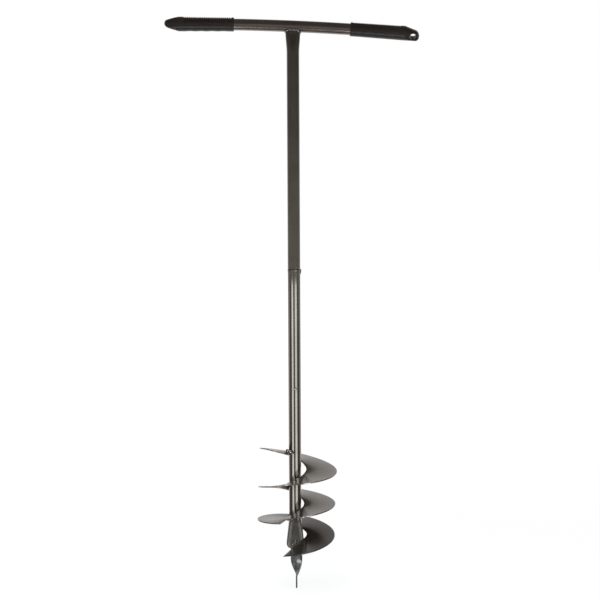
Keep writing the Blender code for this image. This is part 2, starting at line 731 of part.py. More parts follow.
def make_ring_weld():
    """The weld that fills the gap between the two shaft tubes, with a run of metal on the right."""
    rings = []
    root = SHAFT_RADIUS - SHAFT_WALL + SEAT
    neck = SHAFT_JOINT_OPENING / 2.0 - SEAT
    over = SHAFT_RADIUS + SEAT
    for i in range(SHAFT_SIDES):
        angle = FULL_TURN * i / SHAFT_SIDES
        away = min(angle, FULL_TURN - angle)
        run = math.exp(-(away / RING_RUN_SPREAD) ** 2)
        crown = SHAFT_RADIUS + RING_WELD_PROUD + RING_RUN_PROUD * run
        low = -RING_WELD_HALF_HEIGHT - RING_RUN_LENGTH * run
        section = [(root, neck), (over, neck), (over, RING_WELD_HALF_HEIGHT), (crown, 0.6 * neck),
                   (crown, 0.6 * low), (over, low), (over, -neck), (root, -neck)]
        spin = Matrix.Rotation(angle, 3, "Z")
        rings.append([spin @ Vector((r, 0.0, SHAFT_JOINT_HEIGHT + z)) for r, z in section])
    return add_piece("shaft_joint_weld", loft("shaft_joint_weld", rings, closed_path=True), SHAFT_PAINT)


def make_plug_weld():
    """The plug that fills the drilled hole in the lower tube, with a low crown."""
    depth = SHAFT_WALL - SEAT
    profile = [(0.6, depth + PLUG_CROWN), (1.0, depth), (1.0, 0.0)]
    rings = []
    for share, out in profile:
        ring = []
        for i in range(20):
            angle = FULL_TURN * i / 20
            reach = share * PLUG_RADIUS
            ring.append(Vector((reach * math.cos(angle), -out, reach * math.sin(angle))))
        rings.append(ring)
    plug = add_piece("plug_weld", loft("plug_weld", rings), SHAFT_PAINT)
    plug.location = (PLUG_SHIFT, -(SHAFT_RADIUS - SHAFT_WALL), PLUG_HEIGHT)
    return plug


def around_tube(flight, directions, radius, swell):
    """Line of a bead that lies on a flight against the tube, between two directions of the shaft."""
    first, last = directions
    points = []
    for i, share in enumerate(swell):
        direction = first + (last - first) * i / (len(swell) - 1)
        held = min(direction, flight.top_angle)
        off = tube_half_width(flight.rise(0.0, 0.0, held)) + SEAT + radius * share
        height = flight.top_over(off * math.cos(held), off * math.sin(held), held, radius * share)
        points.append(Vector((off * math.cos(direction), off * math.sin(direction), height)))
    return points


def make_flight_welds():
    """Beads along the tube where each plate touches it, on the plate's upper side."""
    swell = bead_swell(13, 3.0, 0.4)
    line = around_tube(UPPER_FLIGHT, FREE_END_BEAD_DIRECTIONS, FREE_END_BEAD_RADIUS, swell)
    make_bead("upper_flight_weld", line, FREE_END_BEAD_RADIUS, swell, WELD_METAL)
    for flight, seed in ((MIDDLE_FLIGHT, 1.1), (LOWER_FLIGHT, 2.3)):
        swell = bead_swell(12, 4.0, seed)
        line = around_tube(flight, FLIGHT_BEAD_DIRECTIONS, FLIGHT_BEAD_RADIUS, swell)
        make_bead(flight.name + "_weld", line, FLIGHT_BEAD_RADIUS, swell, WELD_METAL)


def make_joint_welds():
    """Beads along the butt between the end of one flight and the start of the next."""
    for name, lower in (("upper_joint_weld", MIDDLE_FLIGHT), ("lower_joint_weld", LOWER_FLIGHT)):
        swell = bead_swell(11, 3.0, 0.7)
        edge = FLIGHT_BOTTOM_ANGLE + FULL_TURN
        ray = Vector((math.cos(edge), math.sin(edge)))
        inward = lower.shift.dot(ray)
        clear = tube_half_width(lower.rise(0.0, 0.0, edge)) + 2.0 * SEAT + JOINT_BEAD_RADIUS
        start = math.sqrt(inward ** 2 - lower.shift.length_squared + clear ** 2) - inward
        points = []
        for i, share in enumerate(swell):
            reach = start + (JOINT_BEAD_REACH - start) * i / (len(swell) - 1)
            radius = JOINT_BEAD_RADIUS * share
            direction = edge - (radius + SEAT) / reach
            x = reach * math.cos(direction) + lower.shift.x
            y = reach * math.sin(direction) + lower.shift.y
            points.append(Vector((x, y, lower.top_over(x, y, direction, radius))))
        make_bead(name, points, JOINT_BEAD_RADIUS, swell, WELD_METAL)


def make_cutting_end_weld():
    """Bead between the pressed tube end and the lower end of the lowest flight."""
    swell = bead_swell(9, 3.0, 1.9)
    points = []
    for i, share in enumerate(swell):
        x = END_BEAD_LEFT + (END_BEAD_RIGHT - END_BEAD_LEFT) * i / (len(swell) - 1)
        radius = FLIGHT_BEAD_RADIUS * share
        angle = max(FLIGHT_BOTTOM_ANGLE, math.atan2(-PRESSED_HOLE_FRONT, x))
        edge_x = PRESSED_HOLE_FRONT / math.tan(-angle)
        height = LOWER_FLIGHT.top_over(edge_x, -PRESSED_HOLE_FRONT, angle, radius)
        face = pressed_half_depth(height + radius)
        points.append(Vector((x, -(face + 2.0 * SEAT + radius), height)))
    make_bead("cutting_end_weld", points, FLIGHT_BEAD_RADIUS, swell, WELD_METAL)


def make_point_welds():
    """Beads in the corner between the mouth of the pressed end and the faces of the point."""
    for name, side, seed in (("point_weld_front", -1.0, 0.3), ("point_weld_back", 1.0, 1.4)):
        swell = bead_swell(8, 2.0, seed)
        points = []
        for i, share in enumerate(swell):
            radius = POINT_BEAD_RADIUS * share
            x = POINT_SHIFT / 2.0 + POINT_BEAD_LENGTH * (i / (len(swell) - 1) - 0.5)
            y = side * (POINT_THICKNESS / 2.0 + SEAT + radius)
            points.append(Vector((x, y, PRESS_END_HEIGHT - SEAT - radius)))
        make_bead(name, points, POINT_BEAD_RADIUS, swell, WELD_METAL)


clear_scene()
PARTS = new_collection("hand_earth_auger")
CUTTERS = new_collection("cutters")
SHAFT_PAINT = new_finish("shaft paint", (0.050, 0.044, 0.037), 0.32, 0.20)
BAR_PAINT = new_finish("bar paint", (0.056, 0.050, 0.048), 0.34, 0.20)
FLIGHT_PAINT = new_finish("flight paint", (0.132, 0.121, 0.108), 0.40, 0.25)
POINT_PAINT = new_finish("point paint", (0.165, 0.155, 0.148), 0.34, 0.40)
WELD_METAL = new_finish("weld", (0.075, 0.056, 0.048), 0.42, 0.30)
RUBBER = new_finish("rubber", (0.022, 0.021, 0.020), 0.50, 0.0)

make_upper_shaft()
make_lower_shaft()
make_bar()
make_grip("left_grip", -1, LEFT_GRIP_TURN)
make_grip("right_grip", 1, RIGHT_GRIP_TURN)
for each_flight in (UPPER_FLIGHT, MIDDLE_FLIGHT, LOWER_FLIGHT):
    make_flight(each_flight)
make_point()
make_handle_welds()
make_ring_weld()
make_plug_weld()
make_flight_welds()
make_joint_welds()
make_cutting_end_weld()
make_point_welds()
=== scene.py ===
"""Looks of a hand earth auger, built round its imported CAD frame.

Metres, +Z up the shaft, the tip of the point at the origin, +X towards the right grip and -Y towards
the camera. Each sub-assembly is a class with its sizes as fields. It works its surfaces out with numpy,
dresses them with a procedural finish and lets them ride on the frame.
"""

from __future__ import annotations

import logging
import math
from dataclasses import dataclass
from enum import Enum
from typing import Callable

import bpy
import numpy as np
from mathutils import Matrix, Vector


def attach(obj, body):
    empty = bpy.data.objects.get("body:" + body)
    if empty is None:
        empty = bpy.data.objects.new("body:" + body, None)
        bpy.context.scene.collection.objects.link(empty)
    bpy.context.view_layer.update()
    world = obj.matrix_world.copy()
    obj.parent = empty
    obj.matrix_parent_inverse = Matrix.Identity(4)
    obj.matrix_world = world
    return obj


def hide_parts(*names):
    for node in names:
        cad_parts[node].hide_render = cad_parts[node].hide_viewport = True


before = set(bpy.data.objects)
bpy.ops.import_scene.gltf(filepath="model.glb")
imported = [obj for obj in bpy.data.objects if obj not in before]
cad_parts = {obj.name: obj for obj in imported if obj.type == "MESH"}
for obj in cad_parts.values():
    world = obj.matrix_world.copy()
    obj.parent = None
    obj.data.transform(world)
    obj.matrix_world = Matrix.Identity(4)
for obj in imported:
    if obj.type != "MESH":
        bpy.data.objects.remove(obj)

LOG = logging.getLogger("auger")
BODY = "root"
MM = 0.001
FULL_TURN = 2.0 * math.pi
QUARTER = math.pi / 2.0
TINY = 1.0e-6
WHITE = (1.0, 1.0, 1.0)

Colour = tuple[float, float, float]
Triple = tuple[float, float, float]
Span = tuple[float, float]
Array = np.ndarray
Material = bpy.types.Material
Piece = bpy.types.Object
Term = "Sock | float"


class Side(Enum):
    """Which half of the handle a grip is on, as a sign along X."""

    LEFT = -1
    RIGHT = 1


class Slot(Enum):
    """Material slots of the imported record."""

    SHAFT = "shaft_paint"
    BAR = "bar_paint"
    FLIGHT = "flight_paint"
    POINT = "point_steel"
    WELD = "weld"
    RUBBER = "grip_rubber"


class Axis(Enum):
    """The object's own axes."""

    X = "X"
    Y = "Y"
    Z = "Z"


class Path(Enum):
    """How a row of rings ends: with a pole at each end, or with its last ring joined to its first."""

    CAPPED = "capped"
    LOOP = "loop"


def operator(operation: str, reflected: bool = False) -> Callable[..., Sock]:
    """Make a method of Sock that adds a Math node.

    Args:
        operation: The node's operation.
        reflected: Whether the socket is the right-hand term.

    Returns:
        The method.
    """
    def method(self: Sock, *others: Term) -> Sock:
        """Add the node over this socket and the other terms."""
        return self.graph.maths(operation, *((*others, self) if reflected else (self, *others)))
    return method


class Sock:
    """A shader socket that takes part in arithmetic: each operation adds its Math node."""

    __add__, __radd__ = operator("ADD"), operator("ADD", reflected=True)
    __sub__, __rsub__ = operator("SUBTRACT"), operator("SUBTRACT", reflected=True)
    __mul__, __rmul__ = operator("MULTIPLY"), operator("MULTIPLY", reflected=True)
    __pow__, __abs__ = operator("POWER"), operator("ABSOLUTE")

    def __init__(self, graph: Graph, socket: bpy.types.NodeSocket) -> None:
        """Wrap an output socket of a graph."""
        self.graph, self.socket = graph, socket

    @property
    def swing(self) -> Sock:
        """The value less a half, so that noise of 0 to 1 swings about nothing."""
        return self - 0.5

    def ramp(self, low: float, high: float) -> Sock:
        """Ease from 0 to 1 while the value goes from low to high, or back where low is above high.

        Args:
            low: Value that gives 0.
            high: Value that gives 1.

        Returns:
            The eased share, 3t^2 - 2t^3 of the clamped share t.
        """
        ends = (low, high, 0.0, 1.0) if low < high else (high, low, 1.0, 0.0)
        return self.graph.value("Result", "ShaderNodeMapRange", {"interpolation_type": "SMOOTHSTEP"}, {
            "Value": self, **dict(zip(("From Min", "From Max", "To Min", "To Max"), ends))})


@dataclass(frozen=True)
class Grain:
    """A noise: cells to a metre, number of finer layers, weight of each, and how much it bends itself."""

    scale: float
    detail: float = 3.0
    rough: float = 0.5
    warp: float = 0.0


class Graph:
    """The node tree of a material or a world, from its texture coordinates to its output."""

    def __init__(self, owner: Material | bpy.types.World) -> None:
        """Empty the owner's tree.

        Args:
            owner: The material or world that the tree belongs to.
        """
        self.owner = owner
        self.owner.use_nodes = True
        self.tree = self.owner.node_tree
        self.tree.nodes.clear()
        self.place = self.value("Object", "ShaderNodeTexCoord")

    def node(self, kind: str, settings: dict[str, object] | None = None,
             sockets: dict[object, object] | None = None) -> bpy.types.Node:
        """Add one node.

        Args:
            kind: The node's type name.
            settings: Properties set before its sockets.
            sockets: Input names or numbers to values, sockets or wrapped sockets.

        Returns:
            The new node.
        """
        made = self.tree.nodes.new(kind)
        for key, value in (settings or {}).items():
            setattr(made, key, value)
        for key, value in (sockets or {}).items():
            value = value.socket if isinstance(value, Sock) else value
            if isinstance(value, bpy.types.NodeSocket):
                self.tree.links.new(value, made.inputs[key])
            else:
                made.inputs[key].default_value = value
        return made

    def value(self, output: str | int, kind: str, *given: dict | None) -> Sock:
        """Add one node from its type, settings and sockets, and wrap one of its outputs."""
        return Sock(self, self.node(kind, *given).outputs[output])

    def maths(self, operation: str, *terms: Term) -> Sock:
        """Add a Math node over up to three terms."""
        return self.value(0, "ShaderNodeMath", {"operation": operation}, dict(enumerate(terms)))

    def part(self, axis: Axis, where: Sock | None = None) -> Sock:
        """One coordinate of a place, or of the Object coordinates in metres."""
        return self.value(axis.value, "ShaderNodeSeparateXYZ", {}, {"Vector": where or self.place})

    def stretched(self, x: float, y: float, z: float, turn: float = 0.0) -> Sock:
        """Object coordinates scaled along each axis, for grain that runs one way."""
        return self.value("Vector", "ShaderNodeMapping", {}, {
            "Vector": self.place, "Scale": (x, y, z), "Rotation": (0.0, 0.0, turn)})

    def attribute(self, name: str) -> Sock:
        """A number that the mesh carries at each point."""
        return self.value("Fac", "ShaderNodeAttribute", {"attribute_name": name})

    def noise(self, grain: Grain, where: Sock | None = None) -> Sock:
        """Smooth noise of about 0 to 1 over a place, or over the Object coordinates."""
        return self.value("Fac", "ShaderNodeTexNoise", {}, {
            "Vector": where or self.place, "Scale": grain.scale, "Detail": grain.detail,
            "Roughness": grain.rough, "Distortion": grain.warp})

    def cells(self, scale: float) -> Sock:
        """Distance to the nearest of a field of scattered points, in cells."""
        return self.value("Distance", "ShaderNodeTexVoronoi", {}, {"Vector": self.place, "Scale": scale})

    def coats(self, base: Sock | Colour, *laid: tuple[Term, Colour]) -> Sock:
        """Lay colours over a base, one after the other.

        Args:
            base: The lowest colour.
            laid: The share and the colour of each coat.

        Returns:
            The mixed colour.
        """
        for share, tone in laid:
            low, high = ((*c, 1.0) if isinstance(c, tuple) else c for c in (base, tone))
            base = self.value(2, "ShaderNodeMix", {"data_type": "RGBA"}, {0: share, 6: low, 7: high})
        return base

    def bump(self, height: Sock, depth: float) -> Sock:
        """Tilt the shading by a height from 0 to 1 that stands for a depth in metres."""
        return self.value("Normal", "ShaderNodeBump", {}, {
            "Height": height, "Distance": depth, "Strength": 1.0})

    def rays(self) -> list[Sock]:
        """Whether a ray comes from the camera, off a glossy surface or through a clear one."""
        path = self.node("ShaderNodeLightPath")
        return [Sock(self, path.outputs[f"Is {kind} Ray"]) for kind in ("Camera", "Glossy", "Transmission")]

    def close(self, colour: Sock, rough: Sock, metal: Term, normal: Sock, **constants: float) -> Material:
        """End the graph in its Principled shader.

        Args:
            colour: Base colour.
            rough: Roughness.
            metal: Metallic share.
            normal: Shading normal.
            constants: Sockets that are alike all over, by name with _ for a blank.

        Returns:
            The finished material.
        """
        sockets = {"Base Color": colour, "Roughness": rough, "Metallic": metal, "Normal": normal}
        sockets.update({name.replace("_", " "): value for name, value in constants.items()})
        self.end("Material", self.node("ShaderNodeBsdfPrincipled", {}, sockets))
        return self.owner

    def end(self, kind: str, shader: bpy.types.Node) -> None:
        """Lead a shader to the output of a material or a world."""
        self.node("ShaderNodeOutput" + kind, {}, {"Surface": shader.outputs[0]})


@dataclass(frozen=True)
class TubePaint:
    """Thin dark lacquer over drawn steel tube, through which the metal shines: faint drawing marks,
    clouds, chips, brown temper tint near the welds with painted shade where the flights meet the tube,
    and painted highlight lines along the pressed flat's creases.

    scorched_and_shaded holds the place, reach and strength of each brown mark along the axis, worn
    the two ends of a patch rubbed pale and dulled where the gloss goes.
    """

    name: str
    colour: Colour
    warm: Colour
    axis: Axis
    rough: float = 0.10
    scorched_and_shaded: tuple[tuple[float, float, float], ...] = ()
    worn: Span | None = None
    dulled: Span | None = None
    steel: Colour = (0.34, 0.33, 0.31)
    # Brown of temper tint, also laid as painted shade where the flights meet the tube.
    heat_tint_and_shade: Colour = (0.070, 0.034, 0.024)
    pale: Colour = (0.165, 0.140, 0.120)
    metal: float = 0.94
    coat: float = 0.15
    coat_rough: float = 0.12
    cloud: Grain = Grain(16.0, 4.0, 0.55, 0.4)
    cloud_warm: Span = (0.35, 0.70)
    cloud_metal: float = 0.08
    cloud_rough: float = 0.06
    dust: Grain = Grain(900.0, 2.0, 0.6)
    dust_rough: float = 0.05
    streak: Grain = Grain(1.0, 4.0, 0.6)
    streak_across: float = 420.0
    streak_along: float = 6.0
    streak_bare: Span = (0.50, 0.85)
    streak_share: float = 0.10
    streak_dull: Span = (0.45, 0.75)
    streak_rough: float = 0.04
    streak_height: float = 0.4
    chip_scale: float = 150.0
    chip_edge: Span = (0.09, 0.04)
    chip_field: Grain = Grain(21.0)
    chip_places: Span = (0.62, 0.72)
    chip_share: float = 0.85
    chip_rough: float = 0.15
    chip_depth: float = 0.6
    scorch: Grain = Grain(90.0)
    scorch_and_shade_patches: Span = (0.30, 0.75)
    scorch_rough: float = 0.15
    worn_share: float = 0.6
    worn_fray: float = 0.3
    worn_edge: float = 0.8
    worn_front: Span = (2.0 * MM, -2.0 * MM)
    dulled_metal: float = 0.22
    dulled_rough: float = 0.08
    crease_highlight_patches: Span = (0.20, 0.50)
    bump_depth: float = 0.003 * MM

    def build(self) -> Material:
        """Lay the marks over one another, the chips and the painted highlight lines last.

        Returns:
            The material.
        """
        g = Graph(bpy.data.materials.new(self.name))
        scales = (self.streak_along if axis is self.axis else self.streak_across for axis in Axis)
        streak = g.noise(self.streak, g.stretched(*scales))
        cloud, dust = g.noise(self.cloud), g.noise(self.dust)
        chips = g.cells(self.chip_scale).ramp(*self.chip_edge)
        chips = chips * g.noise(self.chip_field).ramp(*self.chip_places)
        colour = g.coats(self.colour, (cloud.ramp(*self.cloud_warm), self.warm),
                         (streak.ramp(*self.streak_bare) * self.streak_share, self.steel))
        metal = self.metal + self.cloud_metal * cloud.swing
        rough = (self.rough + self.cloud_rough * cloud.swing + self.dust_rough * dust.swing
                 + self.streak_rough * streak.ramp(*self.streak_dull))
        place = g.part(self.axis)
        # Each brown mark: temper tint, and painted shade where it lies at a flight's end on the tube.
        for spot, reach, share in self.scorched_and_shaded:
            near = abs(place - spot).ramp(reach, 0.0) * share
            near = near * g.noise(self.scorch).ramp(*self.scorch_and_shade_patches)
            colour = g.coats(colour, (near, self.heat_tint_and_shade))
            rough = rough + near * self.scorch_rough
        if self.worn:
            middle, half = sum(self.worn) / 2.0, (self.worn[1] - self.worn[0]) / 2.0
            patch = abs(place - middle) + cloud.swing * (half * self.worn_fray)
            front = g.part(Axis.Y).ramp(*self.worn_front)
            worn = patch.ramp(half, half * self.worn_edge) * front * self.worn_share
            colour = g.coats(colour, (worn, self.pale))
        if self.dulled:
            dull = place.ramp(*self.dulled)
            metal = metal - dull * self.dulled_metal
            rough = rough + dull * self.dulled_rough
        # Painted highlight: bare-steel colour in thin lines along the edges of the pressed flat; the chips
        # are real wear.
        crease = g.attribute("crease") * cloud.ramp(*self.crease_highlight_patches)
        colour = g.coats(colour, (g.maths("MAXIMUM", chips * self.chip_share, crease), self.steel))
        normal = g.bump(streak * self.streak_height - chips * self.chip_depth, self.bump_depth)
        return g.close(colour, rough + chips * self.chip_rough, metal, normal,
                       Coat_Weight=self.coat, Coat_Roughness=self.coat_rough)


@dataclass(frozen=True)
class PlatePaint:
    """The same lacquer on pulled plate: mottling, pull marks, a painted dark reflection on the cut edges,
    paint burned at the welds with painted shade along the hole's edge and at the butt ends, painted
    shade over the lowest flight, and a few spots worn to bare steel."""

    name: str
    colour: Colour = (0.108, 0.093, 0.075)
    light: Colour = (0.138, 0.122, 0.101)
    dark: Colour = (0.074, 0.063, 0.051)
    # Cut-edge tone: a painted dark reflection of the dim room before the tool.
    edge: Colour = (0.095, 0.062, 0.042)
    # Near-black brown of burned paint, also laid as painted shade.
    burnt_and_shade: Colour = (0.032, 0.022, 0.018)
    tint: Colour = (0.190, 0.085, 0.050)
    steel: Colour = (0.40, 0.39, 0.37)
    metal: float = 0.72
    rough: float = 0.20
    cloud: Grain = Grain(13.0, 5.0, 0.6, 0.6)
    cloud_light: Span = (0.32, 0.70)
    cloud_rough: float = 0.08
    mottle: Grain = Grain(120.0, 3.0, 0.6)
    mottle_rough: float = 0.08
    mottle_height: float = 0.5
    grit: Grain = Grain(1400.0, 2.0, 0.6)
    grit_height: float = 0.35
    pull: Grain = Grain(34.0, 4.0, 0.55, 1.2)
    pull_squeeze: float = 3.0
    pull_dark: Span = (0.56, 0.80)
    pull_share: float = 0.5
    pull_height: float = 0.6
    scratch: Grain = Grain(1.0, 2.0)
    scratch_along: float = 30.0
    scratch_across: float = 700.0
    scratch_turn: float = 0.7
    scratch_bare: Span = (0.66, 0.72)
    scratch_share: float = 0.18
    # Heights over which the lowest flight is darkened as painted shade, darker towards the bottom.
    shaded_low: Span = (150.0 * MM, 108.0 * MM)
    shaded_low_share: float = 0.88
    tint_patches: Grain = Grain(60.0, 3.0, 0.6)
    tint_places: Span = (0.30, 0.55)
    tint_share: float = 0.8
    tint_metal: float = 0.45
    tint_rough: float = 0.22
    scorch_and_shade_least: float = 0.6
    # Painted dark reflection on the cut edges: where it starts and ends, and how strong it is.
    rim_dark_reflection: Span = (0.35, 0.75)
    rim_share: float = 0.85
    bare_fray: float = 0.9
    bare_rim: Span = (0.98, 1.10)
    bare_share: float = 0.6
    bump_depth: float = 0.010 * MM

    def build(self) -> Material:
        """Mix the lacquer's tones, then darken the edges as a painted reflection and the strips of burned
        paint and painted shade by the plate's own marks.

        Returns:
            The material.
        """
        g = Graph(bpy.data.materials.new(self.name))
        cloud, mottle, grit = g.noise(self.cloud), g.noise(self.mottle), g.noise(self.grit)
        pull = g.noise(self.pull, g.stretched(1.0, 1.0, self.pull_squeeze))
        lines = g.stretched(self.scratch_along, self.scratch_across, self.scratch_across, self.scratch_turn)
        scratch = g.noise(self.scratch, lines).ramp(*self.scratch_bare)
        rim = g.attribute("rim")
        bare = (rim + self.bare_fray * mottle.swing).ramp(*self.bare_rim)
        # Painted shade over the lowest flight, darker towards the bottom.
        low_shade = g.part(Axis.Z).ramp(*self.shaded_low)
        tinted = g.attribute("tint") * g.noise(self.tint_patches).ramp(*self.tint_places)
        # Burned paint at the welds, with painted shade along the hole's edge and at the butt ends.
        scorch = g.attribute("scorch") * (self.scorch_and_shade_least + (1.0 - self.scorch_and_shade_least) * mottle)
        colour = g.coats(self.colour, (cloud.ramp(*self.cloud_light), self.light),
                         (pull.ramp(*self.pull_dark) * self.pull_share, self.dark),
                         (scratch * self.scratch_share, self.steel), (low_shade * self.shaded_low_share, self.burnt_and_shade),
                         (tinted * self.tint_share, self.tint), (scorch, self.burnt_and_shade),
                         (rim.ramp(*self.rim_dark_reflection) * self.rim_share, self.edge),
                         (bare * self.bare_share, self.steel))
        rough = (self.rough + self.cloud_rough * cloud.swing + self.mottle_rough * mottle.swing
                 + tinted * self.tint_rough)
        metal = self.metal + (1.0 - self.metal) * bare - tinted * self.tint_metal
        height = grit * self.grit_height + mottle * self.mottle_height + pull * self.pull_height
        return g.close(colour, rough, metal, g.bump(height, self.bump_depth))


@dataclass(frozen=True)
class WeldMetal:
    """Painted-over weld: dark, with brown temper colours, coarse ripples and painted glints on the high
    spots.
    """

    name: str
    colour: Colour = (0.042, 0.035, 0.031)
    rust: Colour = (0.078, 0.042, 0.030)
    # Near-white of the painted glints on the high spots.
    bright: Colour = (0.80, 0.78, 0.75)
    metal: float = 0.25
    rough: float = 0.325
    patch: Grain = Grain(180.0, 4.0, 0.6, 0.5)
    patch_rust: Span = (0.42, 0.66)
    patch_rough: float = 0.1
    patch_height: float = 0.5
    grain: Grain = Grain(1100.0, 3.0, 0.6)
    grain_rough: float = 0.25
    grain_height: float = 0.7
    shine_fray: float = 0.5
    shine_crest: Span = (0.42, 0.78)
    shine_metal: float = 0.15
    bump_depth: float = 0.12 * MM

    def build(self) -> Material:
        """Mix dark paint and rust, and paint glints on the crests of the ripples.

        Returns:
            The material.
        """
        g = Graph(bpy.data.materials.new(self.name))
        patch, grain = g.noise(self.patch), g.noise(self.grain)
        # Painted glints: near-white colour, with less metal, on the crests of the ripples.
        shine = (g.attribute("crest") + self.shine_fray * grain.swing).ramp(*self.shine_crest)
        colour = g.coats(self.colour, (patch.ramp(*self.patch_rust), self.rust), (shine, self.bright))
        rough = self.rough + self.grain_rough * grain.swing + self.patch_rough * patch.swing
        normal = g.bump(grain * self.grain_height + patch * self.patch_height, self.bump_depth)
        return g.close(colour, rough, self.metal + self.shine_metal * shine, normal)


@dataclass(frozen=True)
class PointPaint:
    """Thin lacquer on twisted flat bar, worn bright along the edges and dark with dirt near the tip."""

    name: str
    colour: Colour = (0.200, 0.190, 0.184)
    steel: Colour = (0.50, 0.49, 0.48)
    dark: Colour = (0.060, 0.054, 0.050)
    metal: float = 0.60
    rough: float = 0.22
    cloud: Grain = Grain(90.0, 4.0, 0.6, 0.4)
    cloud_dark: Span = (0.35, 0.68)
    cloud_rough: float = 0.1
    cloud_height: float = 0.5
    grain: Grain = Grain(1.0, 3.0, 0.6)
    grain_across: float = 900.0
    grain_along: float = 90.0
    grain_rough: float = 0.12
    grain_height: float = 0.5
    stained_below: float = 34.0 * MM
    stain_share: float = 0.8
    bare_at_rim: float = 0.8
    bare_lost_to_stain: float = 0.5
    bare_fray: float = 0.7
    bare_from: Span = (0.55, 1.05)
    bare_share: float = 0.6
    bump_depth: float = 0.02 * MM

    def build(self) -> Material:
        """Mix lacquer, dirt stain and bare steel by height and by the nearness of an edge.

        Returns:
            The material.
        """
        g = Graph(bpy.data.materials.new(self.name))
        cloud = g.noise(self.cloud)
        grain = g.noise(self.grain, g.stretched(self.grain_across, self.grain_across, self.grain_along))
        stain = g.part(Axis.Z).ramp(self.stained_below, 0.0)
        bare = (g.attribute("rim") * self.bare_at_rim - stain * self.bare_lost_to_stain
                + self.bare_fray * cloud.swing).ramp(*self.bare_from)
        colour = g.coats(self.colour, (cloud.ramp(*self.cloud_dark), self.dark),
                         (stain * self.stain_share, self.dark), (bare * self.bare_share, self.steel))
        rough = self.rough + self.grain_rough * grain.swing + self.cloud_rough * cloud.swing
        normal = g.bump(grain * self.grain_height + cloud * self.cloud_height, self.bump_depth)
        return g.close(colour, rough, self.metal + (1.0 - self.metal) * bare, normal)


@dataclass(frozen=True)
class GripRubber:
    """Black moulded rubber with a fine pebble, dull patches where hands rub and a little dust."""

    name: str
    colour: Colour = (0.012, 0.008, 0.006)
    dusty: Colour = (0.030, 0.022, 0.016)
    specular: float = 0.40
    rough: float = 0.36
    cloud: Grain = Grain(30.0, 4.0, 0.6, 0.5)
    cloud_hazy: Span = (0.4, 0.8)
    cloud_share: float = 0.25
    cloud_rough: float = 0.16
    dust: Grain = Grain(600.0, 3.0, 0.65)
    dust_settles: Span = (0.55, 0.85)
    dust_places: Span = (0.35, 0.75)
    dust_share: float = 0.5
    dust_rough: float = 0.10
    dust_height: float = 0.3
    pebble_scale: float = 1500.0
    pebble: Span = (0.0, 0.6)
    pebble_height: float = 0.6
    bump_depth: float = 0.06 * MM

    def build(self) -> Material:
        """Pebble the skin and let dust settle in the duller patches.

        Returns:
            The material.
        """
        g = Graph(bpy.data.materials.new(self.name))
        cloud, dust = g.noise(self.cloud), g.noise(self.dust)
        settled = dust.ramp(*self.dust_settles) * cloud.ramp(*self.dust_places) * self.dust_share
        haze = self.cloud_share * cloud.ramp(*self.cloud_hazy)
        colour = g.coats(self.colour, (settled + haze, self.dusty))
        rough = self.rough + self.cloud_rough * cloud.swing + self.dust_rough * dust.swing
        pebble = g.cells(self.pebble_scale).ramp(*self.pebble) * self.pebble_height
        normal = g.bump(pebble + dust * self.dust_height, self.bump_depth)
        return g.close(colour, rough, 0.0, normal, Specular_IOR_Level=self.specular)


def portion(values: Array, low: float, high: float) -> Array:
    """How far values have gone from low to high, held between 0 and 1."""
    return np.clip((values - low) / (high - low), 0.0, 1.0)


def eased(values: Array, low: float, high: float) -> Array:
    """Smooth step from 0 at low to 1 at high: 3t^2 - 2t^3 of the portion t."""
    share = portion(values, low, high)
    return share * share * (3.0 - 2.0 * share)


def bell(values: Array, width: float) -> Array:
    """Bell curve: 1 at 0, and 1/e at the width."""
    return np.exp(-(values / width) ** 2)


def fading(distance: Array, reach: float) -> Array:
    """A mark that fades with distance: 1 at 0, and 1/e at its reach."""
    return np.exp(-distance / reach)


def rounded(share: Array) -> Array:
    """Half width of a round end, a share of its radius in from the tip: sqrt(1 - (1 - share)^2)."""
    return np.sqrt(1.0 - (1.0 - share) ** 2)


def quarter(radius: float, count: int) -> tuple[Array, Array]:
    """Points of a quarter circle: radius (1 - cos t) to one side and radius sin t ahead."""
    turn = np.linspace(0.0, QUARTER, count)
    return radius * (1.0 - np.cos(turn)), radius * np.sin(turn)


def turns(count: int) -> Array:
    """Angles of evenly spread points of a ring, half a step off the axes."""
    return FULL_TURN * (np.arange(count) + 0.5) / count


def unit(vectors: Array) -> Array:
    """Vectors scaled to length 1."""
    return vectors / np.linalg.norm(vectors, axis=-1, keepdims=True)


def points(*parts: Array) -> Array:
    """Points from their coordinates, each spread over the shape of the others."""
    return np.stack(np.broadcast_arrays(*parts), -1)


def beside(rows: int, *blocks: Array) -> Array:
    """Blocks of columns side by side, each spread over the same rows."""
    return np.concatenate([np.broadcast_to(block, (rows, block.shape[1])) for block in blocks], 1)


def drawn_out(level: Array, bend: float, stop: float, end: Array) -> Array:
    """Spread or squeeze the heights past a bend evenly, so that the one at stop comes to end.

    Args:
        level: Heights.
        bend: Height from which they move.
        stop: Last of the heights.
        end: Where it comes to.

    Returns:
        The new heights.
    """
    moved = bend + (level - bend) * (end - bend) / (stop - bend)
    return np.where((level - bend) * (stop - bend) > 0.0, moved, level)


